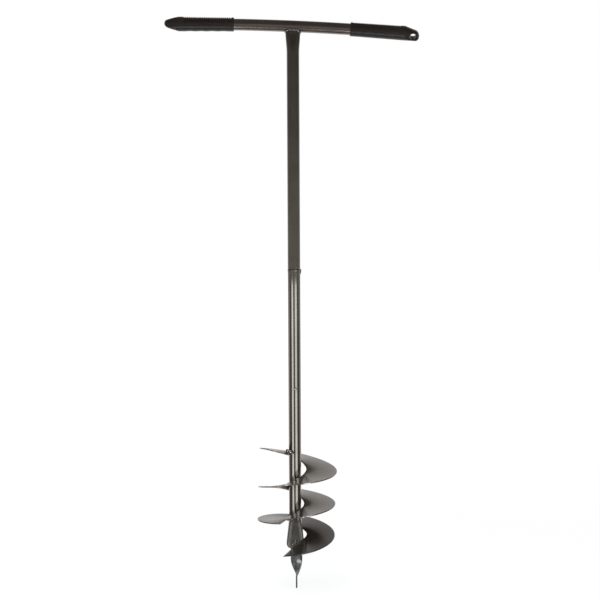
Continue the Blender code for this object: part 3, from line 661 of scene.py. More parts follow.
def wall_path(low: float, high: float, wall: float, lip: float, rows: int,
              guard: float = 1.4) -> tuple[Array, Array]:
    """Walk once round the cut wall of a tube: up the outside, over a lip, down the inside, round a lip.

    Each lip is two quarter circles. A station close to each lip keeps the straight wall's shading
    straight.

    Args:
        low: Height or distance of the tube's first end.
        high: Height or distance of its other end.
        wall: Wall thickness.
        lip: Radius of the rounding at the ends.
        rows: Stations along each side of the wall.
        guard: How many lips in from an end the close station lies.

    Returns:
        Distances along the tube, and how far each lies in from its outer surface.
    """
    aside, ahead = quarter(lip, 5)
    inner = np.linspace(low + guard * lip, high - guard * lip, rows - 2)
    run = np.concatenate([[low + lip], inner, [high - lip]])
    over = np.concatenate([ahead, lip - aside])[1:-1]
    inwards = np.concatenate([aside, wall - lip + ahead])[1:-1]
    along = np.concatenate([run, high - lip + over, run[::-1], low + lip - over])
    inset = np.concatenate([0.0 * run, inwards, np.full_like(run, wall), inwards[::-1]])
    return along, inset


def add(name: str, mesh: bpy.types.Mesh) -> Piece:
    """Put a mesh into the scene.

    Args:
        name: Name of its object.
        mesh: The mesh.

    Returns:
        The new object, at the origin.
    """
    piece = bpy.data.objects.new(name, mesh)
    bpy.context.scene.collection.objects.link(piece)
    return piece


def skin(name: str, rings: Array, path: Path, marks: dict[str, Array] | None = None,
         sharp: float = 42.0) -> Piece:
    """Cover rings of points with one closed surface.

    Neighbouring rings are joined by quads, and a capped path by a fan to the middle of its end rings.
    The faces are turned outwards by the sign of the volume, which is a sixth of the sum of each
    triangle's triple product.

    Args:
        name: Name of the piece.
        rings: Points as rings x points of a ring x 3.
        path: How the rings end.
        marks: Values that the points carry, each as wide as the rings or broadcast to them.
        sharp: Edges that turn more than this many degrees stay sharp.

    Returns:
        The new object, at the origin.
    """
    rows, count = rings.shape[:2]
    index = np.arange(rows * count).reshape(rows, count)
    lower = index if path is Path.LOOP else index[:-1]
    upper = np.roll(index, -1, 0) if path is Path.LOOP else index[1:]
    quads = np.stack([lower, np.roll(lower, -1, 1), np.roll(upper, -1, 1), upper], -1).reshape(-1, 4)
    spots = rings.reshape(-1, 3)
    fans = np.zeros((0, 3), int)
    if path is Path.CAPPED:
        spots = np.concatenate([spots, [rings[0].mean(0), rings[-1].mean(0)]])
        first, last = np.full(count, rows * count), np.full(count, rows * count + 1)
        fans = np.concatenate([np.stack([first, np.roll(index[0], -1), index[0]], -1),
                               np.stack([last, index[-1], np.roll(index[-1], -1)], -1)])
    corners = np.concatenate([quads[:, [0, 1, 2]], quads[:, [0, 2, 3]], fans])
    a, b, c = (spots[corners[:, k]] for k in range(3))
    if np.einsum("ij,ij->i", a, np.cross(b, c)).sum() < 0.0:
        quads, fans = quads[:, ::-1], fans[:, ::-1]
    mesh = bpy.data.meshes.new(name)
    mesh.from_pydata(spots.tolist(), [], quads.tolist() + fans.tolist())
    for label, values in (marks or {}).items():
        full = np.broadcast_to(values, (rows, count)).reshape(-1)
        if path is Path.CAPPED:
            full = np.append(full, [full[0], full[-1]])
        mesh.attributes.new(label, "FLOAT", "POINT").data.foreach_set("value", full.astype(np.float32))
    mesh.shade_smooth()
    mesh.set_sharp_from_angle(angle=math.radians(sharp))
    return add(name, mesh)


def dress(piece: Piece, finish: Material, slot: Slot, *nodes: str) -> None:
    """Give a piece its finish and let it stand for CAD nodes.

    Args:
        piece: The piece.
        finish: Its material.
        slot: The record's slot that it takes its finish from; not used.
        nodes: Names of the nodes that it replaces.
    """
    piece.data.materials.append(finish)
    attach(piece, BODY)
    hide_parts(*nodes)
    LOG.info("%s: %d faces, stands for %s", piece.name, len(piece.data.polygons), ", ".join(nodes))


@dataclass
class Bar:
    """The handle bar: an open tube that welding has left a little tilted and drooping."""

    radius: float = 11.0 * MM
    wall: float = 1.5 * MM
    half_length: float = 214.0 * MM
    height: float = 1085.6 * MM
    shift: float = -1.5 * MM
    tilt: float = math.radians(2.6)
    droop: float = 4.5 * MM
    lip: float = 0.3 * MM
    slope_step: float = 0.01 * MM
    stations: int = 140
    sides: int = 72

    def centre(self, x: Array | float) -> Array | float:
        """Height of the bar's middle: a straight fall to the right less a parabola of droop."""
        along = x - self.shift
        return self.height - math.tan(self.tilt) * along - self.droop * (along / self.half_length) ** 2

    def underside(self, x: Array, y: Array, off: float | Array) -> Array:
        """Height under the bar at a distance off its surface: centre less the half chord there."""
        return self.centre(x) - np.sqrt(np.maximum(0.0, (self.radius + off) ** 2 - y * y))

    def build(self, finish: Material) -> None:
        """Sweep the wall's path along the bar: circles square to the slope of its middle line.

        Args:
            finish: Material of the bar.
        """
        ends = (self.shift - self.half_length, self.shift + self.half_length)
        x, inset = (part[:, None] for part in wall_path(*ends, self.wall, self.lip, self.stations))
        step = self.slope_step
        tip = np.arctan((self.centre(x + step) - self.centre(x - step)) / (2.0 * step))
        angle = turns(self.sides)[None, :]
        reach = self.radius - inset
        up = reach * np.sin(angle)
        rings = points(x - up * np.sin(tip), reach * np.cos(angle), self.centre(x) + up * np.cos(tip))
        dress(skin("handle_bar", rings, Path.LOOP), finish, Slot.BAR, "crossbar_tube")


@dataclass
class Grip:
    """A rubber grip: cross ribs on one side, finger grooves on the other, a flattened nose with a hole.

    Distances run from the mouth to the tip. A valley between two ribs opens over the span rib_valley
    of its cosine, and the ribs fade to the flanks over the span rib_fade of the sine that faces them.
    """

    name: str
    node: str
    side: Side
    turn: float
    bar: Bar
    length: float = 132.0 * MM
    fit: float = 0.35 * MM
    end_gap: float = 0.5 * MM
    wall_at_mouth: float = 2.2 * MM
    wall_at_nose: float = 2.8 * MM
    nose_length: float = 28.0 * MM
    nose_half_depth: float = 5.0 * MM
    nose_half_width: float = 9.8 * MM
    nose_drop: float = 4.4 * MM
    tip_rounding: float = 5.0 * MM
    grooves: int = 4
    groove_depth: float = 0.5 * MM
    groove_margin: float = 10.0 * MM
    hole_radius: float = 6.5 * MM
    hole_from_tip: float = 12.8 * MM
    hole_flare: float = 0.5 * MM
    hole_flares_over: Span = (0.8, 1.15)
    hole_levels: tuple[float, ...] = (0.8, 0.88, 0.95, 1.0, 1.15, 1.4)
    hole_sides: int = 48
    rib_start: float = 4.0 * MM
    rib_pitch: float = 4.0 * MM
    rib_count: int = 23
    rib_depth: float = 1.5 * MM
    rib_valley: Span = (0.15, 0.75)
    rib_fade: Span = (0.05, 0.30)
    lip: float = 0.7 * MM
    sharp: float = 48.0
    sides: int = 128
    bore_rows: int = 40
    body_rows: int = 330
    nose_rows: int = 60

    @property
    def nose_start(self) -> float:
        """Distance at which the nose begins."""
        return self.length - self.nose_length

    def body_radius(self, along: Array | float) -> Array:
        """Radius of the round body, which swells evenly from mouth to nose."""
        share = np.minimum(1.0, along / self.nose_start)
        return self.bar.radius + self.wall_at_mouth + (self.wall_at_nose - self.wall_at_mouth) * share

    def nose_depth(self, along: Array) -> Array:
        """Half depth of the nose, which falls evenly from the body's radius to that of the tip."""
        radius = self.body_radius(along)
        return radius + (self.nose_half_depth - radius) * portion(along, self.nose_start, self.length)

    def carving(self, along: Array, angle: Array) -> Array:
        """Depth carved off the body.

        Finger grooves are cosine waves that fade as the square of the facing sine on one side. Ribs on
        the other side are valleys of an eased cosine that fade towards the flanks.

        Args:
            along: Distances from the mouth.
            angle: Angles round the bar, whose sine is 1 in the middle of the ribs.

        Returns:
            The depths.
        """
        share = portion(along, self.groove_margin, self.nose_start - self.groove_margin)
        wave = 0.5 - 0.5 * np.cos(FULL_TURN * self.grooves * share)
        fingers = self.groove_depth * wave * np.maximum(0.0, -np.sin(angle)) ** 2
        ribs = (along - self.rib_start) / self.rib_pitch
        inside = (ribs > 0.0) & (ribs < self.rib_count)
        valley = eased(0.5 - 0.5 * np.cos(FULL_TURN * ribs), *self.rib_valley) * inside
        return fingers + self.rib_depth * valley * eased(np.sin(angle), *self.rib_fade)

    def shell(self) -> Array:
        """Rings from the closed end of the bore out of the mouth and along the outside to the tip.

        The body is a circle. Along the nose the circle is cut flat on two sides, drawn in along a
        straight line, rounded off towards the tip as a quarter circle in both directions, and it sinks
        evenly.

        Returns:
            The rings, as rings x points of a ring x 3.
        """
        angle = turns(self.sides)[None, :]
        bore, mouth = self.bar.radius + self.fit, self.body_radius(0.0)
        inner = np.linspace(self.nose_start, self.lip, self.bore_rows)
        aside, ahead = (part[1:-1] for part in quarter(self.lip, 6))
        along = np.concatenate([inner, self.lip - ahead, aside])[:, None]
        reach = np.concatenate([np.full_like(inner, bore), bore + aside, mouth - self.lip + ahead])[:, None]
        inside = points(along, reach * np.sin(angle), reach * np.cos(angle))
        body = np.linspace(self.lip, self.nose_start, self.body_rows)
        nose = self.nose_start + quarter(self.nose_length, self.nose_rows)[1][1:-1]
        along = np.concatenate([body, nose])[:, None]
        radius = self.body_radius(along)
        straight = self.length - self.nose_half_width
        narrow = 1.0 + (self.nose_half_width / radius - 1.0) * portion(along, self.nose_start, straight)
        narrow = narrow * rounded(portion(along, self.length, straight))
        depth = self.nose_depth(along) * rounded(portion(along, self.length, self.length - self.tip_rounding))
        reach = radius - self.carving(along, angle)
        flat = reach * np.sin(angle)
        y = np.where(along > self.nose_start, np.clip(flat, -depth, depth), flat)
        sunk = self.nose_drop * portion(along, self.nose_start, self.length)
        return np.concatenate([inside, points(along, y, narrow * reach * np.cos(angle) - sunk)])

    def hole(self) -> Piece:
        """Cutter of the hanging hole: a cylinder across the nose that flares into both flats.

        Returns:
            The cutter.
        """
        angle = turns(self.hole_sides)[None, :]
        half = np.array(self.hole_levels)
        level = np.concatenate([-half[::-1], half])[:, None]
        out = portion(np.abs(level), *self.hole_flares_over)
        reach = self.hole_radius + self.hole_flare * out ** 2
        along = self.length - self.hole_from_tip + reach * np.cos(angle)
        centre = -self.nose_drop * (1.0 - self.hole_from_tip / self.nose_length)
        rings = points(along, level * self.nose_depth(along), centre + reach * np.sin(angle))
        return skin(self.name + "_hole", rings, Path.CAPPED)

    def place(self) -> Matrix:
        """Where the grip sits: its bore lies along the chord of the drooping bar that it covers.

        Returns:
            The grip's matrix, from its mouth at the origin and its tip along X.
        """
        sign = float(self.side.value)
        covered = self.nose_start - self.end_gap
        bar_end = self.bar.shift + sign * self.bar.half_length
        mouth = bar_end - sign * covered
        start = Vector((mouth, 0.0, self.bar.centre(mouth)))
        end = Vector((bar_end, 0.0, self.bar.centre(bar_end)))
        bulge = self.bar.centre((mouth + bar_end) / 2.0) - (start.z + end.z) / 2.0
        spot = end - (end - start).normalized() * covered + Vector((0.0, 0.0, bulge / 2.0))
        slope = math.atan2(end.z - start.z, abs(end.x - start.x))
        facing = Matrix.Rotation(0.0 if self.side is Side.RIGHT else math.pi, 4, "Z")
        return (Matrix.Translation(spot) @ Matrix.Rotation(-slope * sign, 4, "Y")
                @ Matrix.Rotation(self.turn, 4, "X") @ facing)

    def build(self, finish: Material) -> None:
        """Skin the shell, cut the hole through the nose and push the grip onto the bar.

        Args:
            finish: Material of the grip.
        """
        grip, cutter = skin(self.name, self.shell(), Path.CAPPED), self.hole()
        bite = grip.modifiers.new("hanging hole", "BOOLEAN")
        bite.operation, bite.solver, bite.object = "DIFFERENCE", "EXACT", cutter
        view = bpy.context.evaluated_depsgraph_get()
        mesh = bpy.data.meshes.new_from_object(grip.evaluated_get(view))
        for spare in (grip, cutter):
            bpy.data.objects.remove(spare, do_unlink=True)
        mesh.transform(self.place())
        mesh.shade_smooth()
        mesh.set_sharp_from_angle(angle=math.radians(self.sharp))
        mesh.materials.clear()
        mesh.name = self.name
        dress(add(self.name, mesh), finish, Slot.RUBBER, self.node)


@dataclass
class Shaft:
    """The shaft: an upper tube pressed oval under the bar, and a lower tube pressed flat over the tang.

    Round a pressed tube, the points whose cosine is under flat_share are spread along its flats.
    """

    bar: Bar
    radius: float = 12.0 * MM
    wall: float = 1.5 * MM
    seat: float = 0.3 * MM
    joint_height: float = 621.4 * MM
    joint_opening: float = 2.4 * MM
    oval_half_depth: float = 8.2 * MM
    oval_length: float = 40.0 * MM
    saddle_length: float = 8.0 * MM
    press_start: float = 141.0 * MM
    press_full: float = 92.0 * MM
    press_end: float = 79.2 * MM
    press_corner: float = 9.0 * MM
    press_settles: float = 5.0 * MM
    # Where the painted highlight lines lie beside each edge of the pressed flat.
    crease_inset: float = 1.0 * MM
    crease_width: float = 1.7 * MM
    crease_onset: float = 2.5 * MM
    tang_thickness: float = 3.0 * MM
    plug_height: float = 392.9 * MM
    plug_radius: float = 4.2 * MM
    plug_seam: float = 0.15 * MM
    plug_crown: float = 0.7 * MM
    plug_uneven: float = 0.2
    plug_uneven_from: float = 0.6
    plug_valley: float = 0.40 * MM
    plug_valley_at: float = 0.86
    plug_valley_width: float = 0.07
    plug_shift: float = 0.6 * MM
    plug_off: float = 0.04 * MM
    ring_proud: float = 0.1875 * MM
    ring_half_height: float = 1.9 * MM
    ring_seat: float = 0.09 * MM
    ring_fullness: float = 0.7
    ring_ripples: tuple[tuple[float, float, float], ...] = ((0.08 * MM, 37.0, 0.0), (0.06 * MM, 11.0, 1.0))
    run_proud: float = 1.6 * MM
    run_length: float = 6.0 * MM
    run_spread: float = math.radians(11.0)
    lip: float = 0.35 * MM
    flat_share: float = 0.22
    sides: int = 128
    upper_rows: int = 150
    lower_rows: int = 260
    lower_crowding: float = 1.8
    ring_sides: int = 180
    ring_rows: int = 13
    plug_sides: int = 64
    plug_rings: tuple[float, ...] = (1.0, 1.0, 0.97, 0.92, 0.86, 0.78, 0.66, 0.5, 0.3, 0.12)

    def pressed(self, depth: Array | float, angle: Array) -> tuple[Array, Array]:
        """Outline of the round tube pressed between two flats, its way round kept.

        The flats are pi/2 (r - d) to each side of the middle, and half circles of radius d close them.

        Args:
            depth: Half depth d of the pressed tube.
            angle: Angle of each point.

        Returns:
            x and y of the points.
        """
        flat = QUARTER * (self.radius - depth)
        x = flat * np.clip(np.cos(angle) / self.flat_share, -1.0, 1.0) + depth * np.cos(angle)
        return x, depth * np.sin(angle)

    def half_depth(self, height: Array | float) -> Array | float:
        """Half depth of the lower tube, which closes steadily onto the tang below the press line."""
        closed = self.tang_thickness / 2.0 + self.seat + self.wall
        return self.radius + (closed - self.radius) * portion(height, self.press_start, self.press_full)

    def half_width(self, height: Array | float) -> Array | float:
        """Half width of the lower tube, whose way round stays that of the round tube."""
        return QUARTER * self.radius - (QUARTER - 1.0) * self.half_depth(height)

    def build(self, finish: Material) -> None:
        """Make both tubes, the ring weld between them and the filled hole.

        Args:
            finish: Material of the shaft.
        """
        for piece, node in ((self.upper(), "upper_shaft_tube"), (self.lower(), "lower_shaft_tube"),
                            (self.ring(), "shaft_joint_weld"), (self.plug(), "plug_weld")):
            dress(piece, finish, Slot.SHAFT, node)

    def upper(self) -> Piece:
        """Upper tube: pressed to a flat oval over its last stretch and cut to the bar's underside.

        Heights over the saddle line are stretched so that the top row lies a seat's gap under the bar.

        Returns:
            The tube.
        """
        low, high = self.joint_height + self.joint_opening / 2.0, self.bar.height
        level, inset = (part[:, None] for part in wall_path(low, high, self.wall, self.lip, self.upper_rows))
        angle = turns(self.sides)[None, :]
        top = self.bar.height - self.bar.radius
        pressed = eased(level, top - self.oval_length, top)
        x, y = self.pressed(self.radius + (self.oval_half_depth - self.radius) * pressed, angle)
        x, y = x - inset * np.cos(angle), y - inset * np.sin(angle)
        z = drawn_out(level, top - self.saddle_length, high, self.bar.underside(x, y, self.seat))
        return skin("shaft_upper_tube", points(x, y, z), Path.LOOP)

    def lower(self) -> Piece:
        """Lower tube: a flat as wide as the press leaves, sqrt(r^2 - d^2), between elliptical sides.

        Rows lie closer together towards the press. Heights under a line above the rounded corners are
        squeezed so that the lowest row follows them. A mark places painted highlight lines along the
        flat's creases.

        Returns:
            The tube.
        """
        low, high = self.press_end, self.joint_height - self.joint_opening / 2.0
        level, inset = (part[:, None] for part in wall_path(low, high, self.wall, self.lip, self.lower_rows))
        level = low + (high - low) * portion(level, low, high) ** self.lower_crowding
        depth = self.half_depth(level)
        flat = np.sqrt(np.maximum(0.0, self.radius ** 2 - depth ** 2))
        bulge = self.half_width(level) - inset - flat
        angle = turns(self.sides)[None, :]
        x = flat * np.clip(np.cos(angle) / self.flat_share, -1.0, 1.0) + bulge * np.cos(angle)
        y = (depth - inset) * np.sin(angle)
        corner = self.press_corner
        past = np.clip(np.abs(x) - (self.half_width(low) - corner), 0.0, corner)
        end = low + corner - np.sqrt(corner ** 2 - past ** 2)
        z = drawn_out(level, low + corner + self.press_settles, low, end)
        # Painted highlight lines of bare-steel colour along the edges of the pressed flat.
        off = np.abs(x) - (flat + bulge * self.flat_share) + self.crease_inset
        crease = bell(off, self.crease_width) * eased(self.radius - depth, 0.0, self.crease_onset)
        return skin("shaft_lower_tube", points(x, y, z), Path.LOOP, {"crease": crease})

    def ring(self) -> Piece:
        """Ring weld: a low rippled crown round the joint, with a run of metal on the right.

        The run stands out and hangs down by a bell curve of the angle from the right.

        Returns:
            The weld.
        """
        angle = turns(self.ring_sides)[:, None]
        run = bell(np.minimum(angle, FULL_TURN - angle), self.run_spread)
        ripple = sum(size * np.sin(waves * angle + start) for size, waves, start in self.ring_ripples)
        turn = np.linspace(0.0, math.pi, self.ring_rows)[None, :]
        below = self.ring_half_height + self.run_length * run
        half = np.where(turn < QUARTER, self.ring_half_height, below)
        proud = self.ring_proud + self.run_proud * run + ripple
        crown = self.radius + self.ring_seat + proud * np.sin(turn) ** self.ring_fullness
        neck = self.joint_opening / 2.0 - self.seat
        root = np.full((1, 2), self.radius - self.wall + self.seat)
        reach = beside(self.ring_sides, crown, root)
        level = beside(self.ring_sides, half * np.cos(turn), np.array([[-neck, neck]]))
        crest = np.clip(0.5 + 0.5 * (ripple / sum(size for size, _, _ in self.ring_ripples) + run), 0.0, 1.0)
        rings = points(reach * np.cos(angle), reach * np.sin(angle), self.joint_height + level)
        return skin("shaft_ring_weld", rings, Path.LOOP, {"crest": crest})

    def plug(self) -> Piece:
        """Filled hole: a disc wrapped on the tube, with a sunk rim and a low uneven crown.

        Depth over the tube's face is crown (1 - s^2) less a narrow valley near the edge.

        Returns:
            The plug.
        """
        angle = turns(self.plug_sides)[None, :]
        share = np.array(self.plug_rings)[:, None]
        sunk = np.zeros_like(share)
        sunk[:3, 0] = self.wall - self.seat, self.plug_seam, self.plug_seam / 3.0
        reach = share * (self.plug_radius + self.plug_seam)
        x = self.plug_shift + reach * np.cos(angle)
        valley = self.plug_valley * bell(share - self.plug_valley_at, self.plug_valley_width)
        uneven = 1.0 - self.plug_uneven * (1.0 - np.sin(2.0 * angle + self.plug_uneven_from))
        crown = self.plug_crown * (1.0 - share ** 2) * uneven
        y = -(np.sqrt(self.radius ** 2 - x ** 2) - sunk + crown - valley + self.plug_off)
        rings = points(x, y, self.plug_height + reach * np.sin(angle))
        return skin("shaft_plug_weld", rings, Path.CAPPED, {"crest": share})


@dataclass
class Flight:
    """One turn of helical plate, placed and leaning as it was welded on.

    height is where the plate crosses its own right-hand side and pitch its rise in a turn. leans are its
    fall to the right and rise to the back. shift moves its centre off the shaft's line, and hole says
    how far its hole reaches to the right, back and front; its left side follows the tube's width at
    left_side_at of the pitch. pressed_below is the turn below which the front edge of the hole closes in
    on the flattened tube. end_drop sinks a free top end, and ground is how far the cutting edge is
    ground thin.
    """

    name: str
    node: str
    height: float
    pitch: float
    leans: Span
    shift: Span
    hole: Triple
    shaft: Shaft
    top_angle: float = math.radians(246.0)
    bottom_angle: float = math.radians(-110.0)
    end_drop: float = 0.0
    end_drop_from: float = math.radians(130.0)
    left_side_at: float = 0.35
    pressed_below: float = math.radians(-200.0)
    pressed_front: float = 6.6 * MM
    pressed_fullness: float = 1.13
    ground: float = 0.0
    ground_least: float = 0.15
    ground_sink: float = 0.35
    radius: float = 75.0 * MM
    thickness: float = 2.0 * MM
    fit: float = 0.4 * MM
    edge: float = 0.45 * MM
    waviness: float = 0.25 * MM
    waves_round: float = 3.0
    waves_out: float = 40.0
    rim_reach: float = 0.8 * MM
    end_reach: float = 0.9 * MM
    left_spread: float = 0.8
    scorch_reach: float = 7.0 * MM
    # Reaches of the painted shade: a thin line along the hole's edge, and the butt ends near the tube.
    scorch_and_shade_at_tube: float = 3.0 * MM
    scorch_and_shade_at_ends: float = 5.0 * MM
    scorch_and_shade_end_share: float = 0.8
    tint_reach: float = 16.0 * MM
    tint_at_top: float = 9.0 * MM
    slope_step: float = 0.2 * MM
    normal_step: float = 0.001
    halvings: int = 36
    steps: int = 300
    across: int = 40
    crowding: float = 1.2

    def rise(self, x: Array, y: Array, angle: Array) -> Array:
        """Height of the plate's middle: a helix plus its leans, less the drop of a free end.

        The drop grows as the square of the turn past its start, and fades from the tube to the rim.

        Args:
            x: Places to the right.
            y: Places to the back.
            angle: Angles of the places about the plate's centre, counted on through its turn.

        Returns:
            The heights.
        """
        past = portion(angle, self.end_drop_from, self.top_angle)
        inward = portion(np.hypot(x, y), self.radius, self.shaft.radius)
        return (self.height + self.pitch * angle / FULL_TURN - self.leans[0] * x + self.leans[1] * y
                - self.end_drop * past ** 2 * inward)

    def near(self, x: Array, y: Array, angle: Array) -> Array:
        """Angle of a point about the plate's centre, on the turn closest to a given angle."""
        found = np.arctan2(y - self.shift[1], x - self.shift[0])
        return found + FULL_TURN * np.round((angle - found) / FULL_TURN)

    def top_over(self, x: Array, y: Array, angle: Array, above: Array) -> Array:
        """Height at which something round rests on the plate, by the local slope.

        Args:
            x: Places to the right.
            y: Places to the back.
            angle: Angles close to theirs.
            above: Radius of the round thing.

        Returns:
            Heights of its middle.
        """
        here, east, north = (self.rise(x + dx, y + dy, self.near(x + dx, y + dy, angle)) for dx, dy in (
            (0.0, 0.0), (self.slope_step, 0.0), (0.0, self.slope_step)))
        slope = np.hypot(east - here, north - here) / self.slope_step
        return here + (self.thickness / 2.0 + self.shaft.seat + above) * np.hypot(1.0, slope)

    def inside_hole(self, x: Array, y: Array, angle: Array) -> Array:
        """Whether points lie in the hole: a quarter ellipse to each side, or the pressed front edge.

        Args:
            x: Places to the right.
            y: Places to the back.
            angle: Their angles, counted on through the turn.

        Returns:
            True for each point in the hole.
        """
        right, back, front = self.hole
        left = self.shaft.half_width(self.height + self.left_side_at * self.pitch) + self.fit
        wide = np.where(x > 0.0, right, left)
        plain = (x / wide) ** 2 + (y / np.where(y > 0.0, back, front)) ** 2 < 1.0
        facing = portion(x / np.maximum(np.hypot(x, y), TINY), 0.0, 1.0)
        reach = self.pressed_front + (right - self.pressed_front) * facing ** self.pressed_fullness
        tight = (x / np.where(x > 0.0, reach, left)) ** 2 + (y / reach) ** 2 < 1.0
        return np.where((y < 0.0) & (angle < self.pressed_below), tight, plain)

    def hole_reach(self, angle: Array) -> Array:
        """Distance from the plate's centre to the hole's edge along each ray, found by halving.

        Args:
            angle: Angles of the rays.

        Returns:
            The distances.
        """
        low, high = np.zeros_like(angle), np.full_like(angle, self.radius)
        for _ in range(self.halvings):
            middle = 0.5 * (low + high)
            x, y = self.shift[0] + middle * np.cos(angle), self.shift[1] + middle * np.sin(angle)
            inside = self.inside_hole(x, y, angle)
            low, high = np.where(inside, middle, low), np.where(inside, high, middle)
        return high

    def spot(self, reach: Array, angle: Array) -> Array:
        """Points of the plate's middle, with the slow waves that pulling leaves, strongest at the rim.

        Args:
            reach: Distances from the plate's centre.
            angle: Angles about it.

        Returns:
            The points.
        """
        x, y = self.shift[0] + reach * np.cos(angle), self.shift[1] + reach * np.sin(angle)
        wave = self.waviness * np.sin(self.waves_round * angle + self.waves_out * reach)
        return points(x, y, self.rise(x, y, angle) + wave * portion(reach, 0.0, self.radius) ** 2)

    def over(self, reach: Array, angle: Array, lift: Array) -> Array:
        """Points raised off the plate's middle along its normal, the cross product of its two slopes.

        Args:
            reach: Distances from the plate's centre.
            angle: Angles about it.
            lift: How far each point is raised.

        Returns:
            The points.
        """
        turn, out = self.normal_step, self.normal_step / 10.0
        outwards = self.spot(reach + out, angle) - self.spot(reach - out, angle)
        ahead = self.spot(reach, angle + turn) - self.spot(reach, angle - turn)
        return self.spot(reach, angle) + unit(np.cross(outwards, ahead)) * lift[..., None]

    def marks(self, reach: Array, angle: Array, near: Array) -> dict[str, Array]:
        """Where the plate has cut edges, paint burned at the welds, painted shade along the hole's edge
        and at the butt ends, and temper tint, each fading from its line.

        Args:
            reach: Distances from the plate's centre.
            angle: Angles about it.
            near: Distance of the hole's edge on each ray.

        Returns:
            Values from 0 to 1 by name.
        """
        ends = np.minimum(angle - self.bottom_angle, self.top_angle - angle) * reach
        top = (self.top_angle - angle) * reach
        left = bell(np.mod(angle, FULL_TURN) - math.pi, self.left_spread)
        rim = fading(np.minimum(reach - near, self.radius - reach), self.rim_reach)
        inner_half = reach < 0.5 * (near + self.radius)
        # Burned paint on the left, and painted shade in a thin line along the hole's edge and at the butt
        # ends near the tube.
        scorch = (fading(reach - near, self.scorch_reach) * left + fading(reach - near, self.scorch_and_shade_at_tube)
                  + self.scorch_and_shade_end_share * fading(ends, self.scorch_and_shade_at_ends) * inner_half)
        tint = fading(reach - near, self.tint_reach) * left + fading(top, self.tint_at_top)
        return {"rim": np.maximum(rim, fading(ends, self.end_reach)), "scorch": np.clip(scorch, 0.0, 1.0),
                "tint": np.clip(tint, 0.0, 1.0)}

    def build(self, finish: Material) -> None:
        """Sweep a rounded strip round the plate's centre.

        Each ring runs out over the upper face, round the rim, in under the lower face and round the
        edge of the hole. Quarter circles round the strip's edges.

        Args:
            finish: Material of the flight.
        """
        angle = np.linspace(self.bottom_angle, self.top_angle, self.steps)[:, None]
        near, far = self.hole_reach(angle), self.radius
        aside, ahead = (part[None, :-1] for part in quarter(self.edge, 5))
        half = self.thickness / 2.0 - self.edge + ahead
        span = np.linspace(0.0, 1.0, self.across)[None, :] ** self.crowding
        flat = near + self.edge + (far - near - 2.0 * self.edge) * span
        reach = beside(self.steps, near + aside, flat, far - aside[:, ::-1])
        lift = beside(self.steps, half, np.full_like(span, self.thickness / 2.0), half[:, ::-1])
        reach = np.concatenate([reach, reach[:, ::-1]], 1)
        lift = np.concatenate([lift, -lift[:, ::-1]], 1)
        if self.ground > 0.0:
            thin = np.clip((angle - self.bottom_angle) * reach / self.ground, self.ground_least, 1.0)
            sunk = lift * thin - (1.0 - thin) * self.thickness * self.ground_sink
            lift = np.where(lift > 0.0, sunk, lift)
        piece = skin(self.name, self.over(reach, angle, lift), Path.CAPPED, self.marks(reach, angle, near))
        dress(piece, finish, Slot.FLIGHT, self.node)


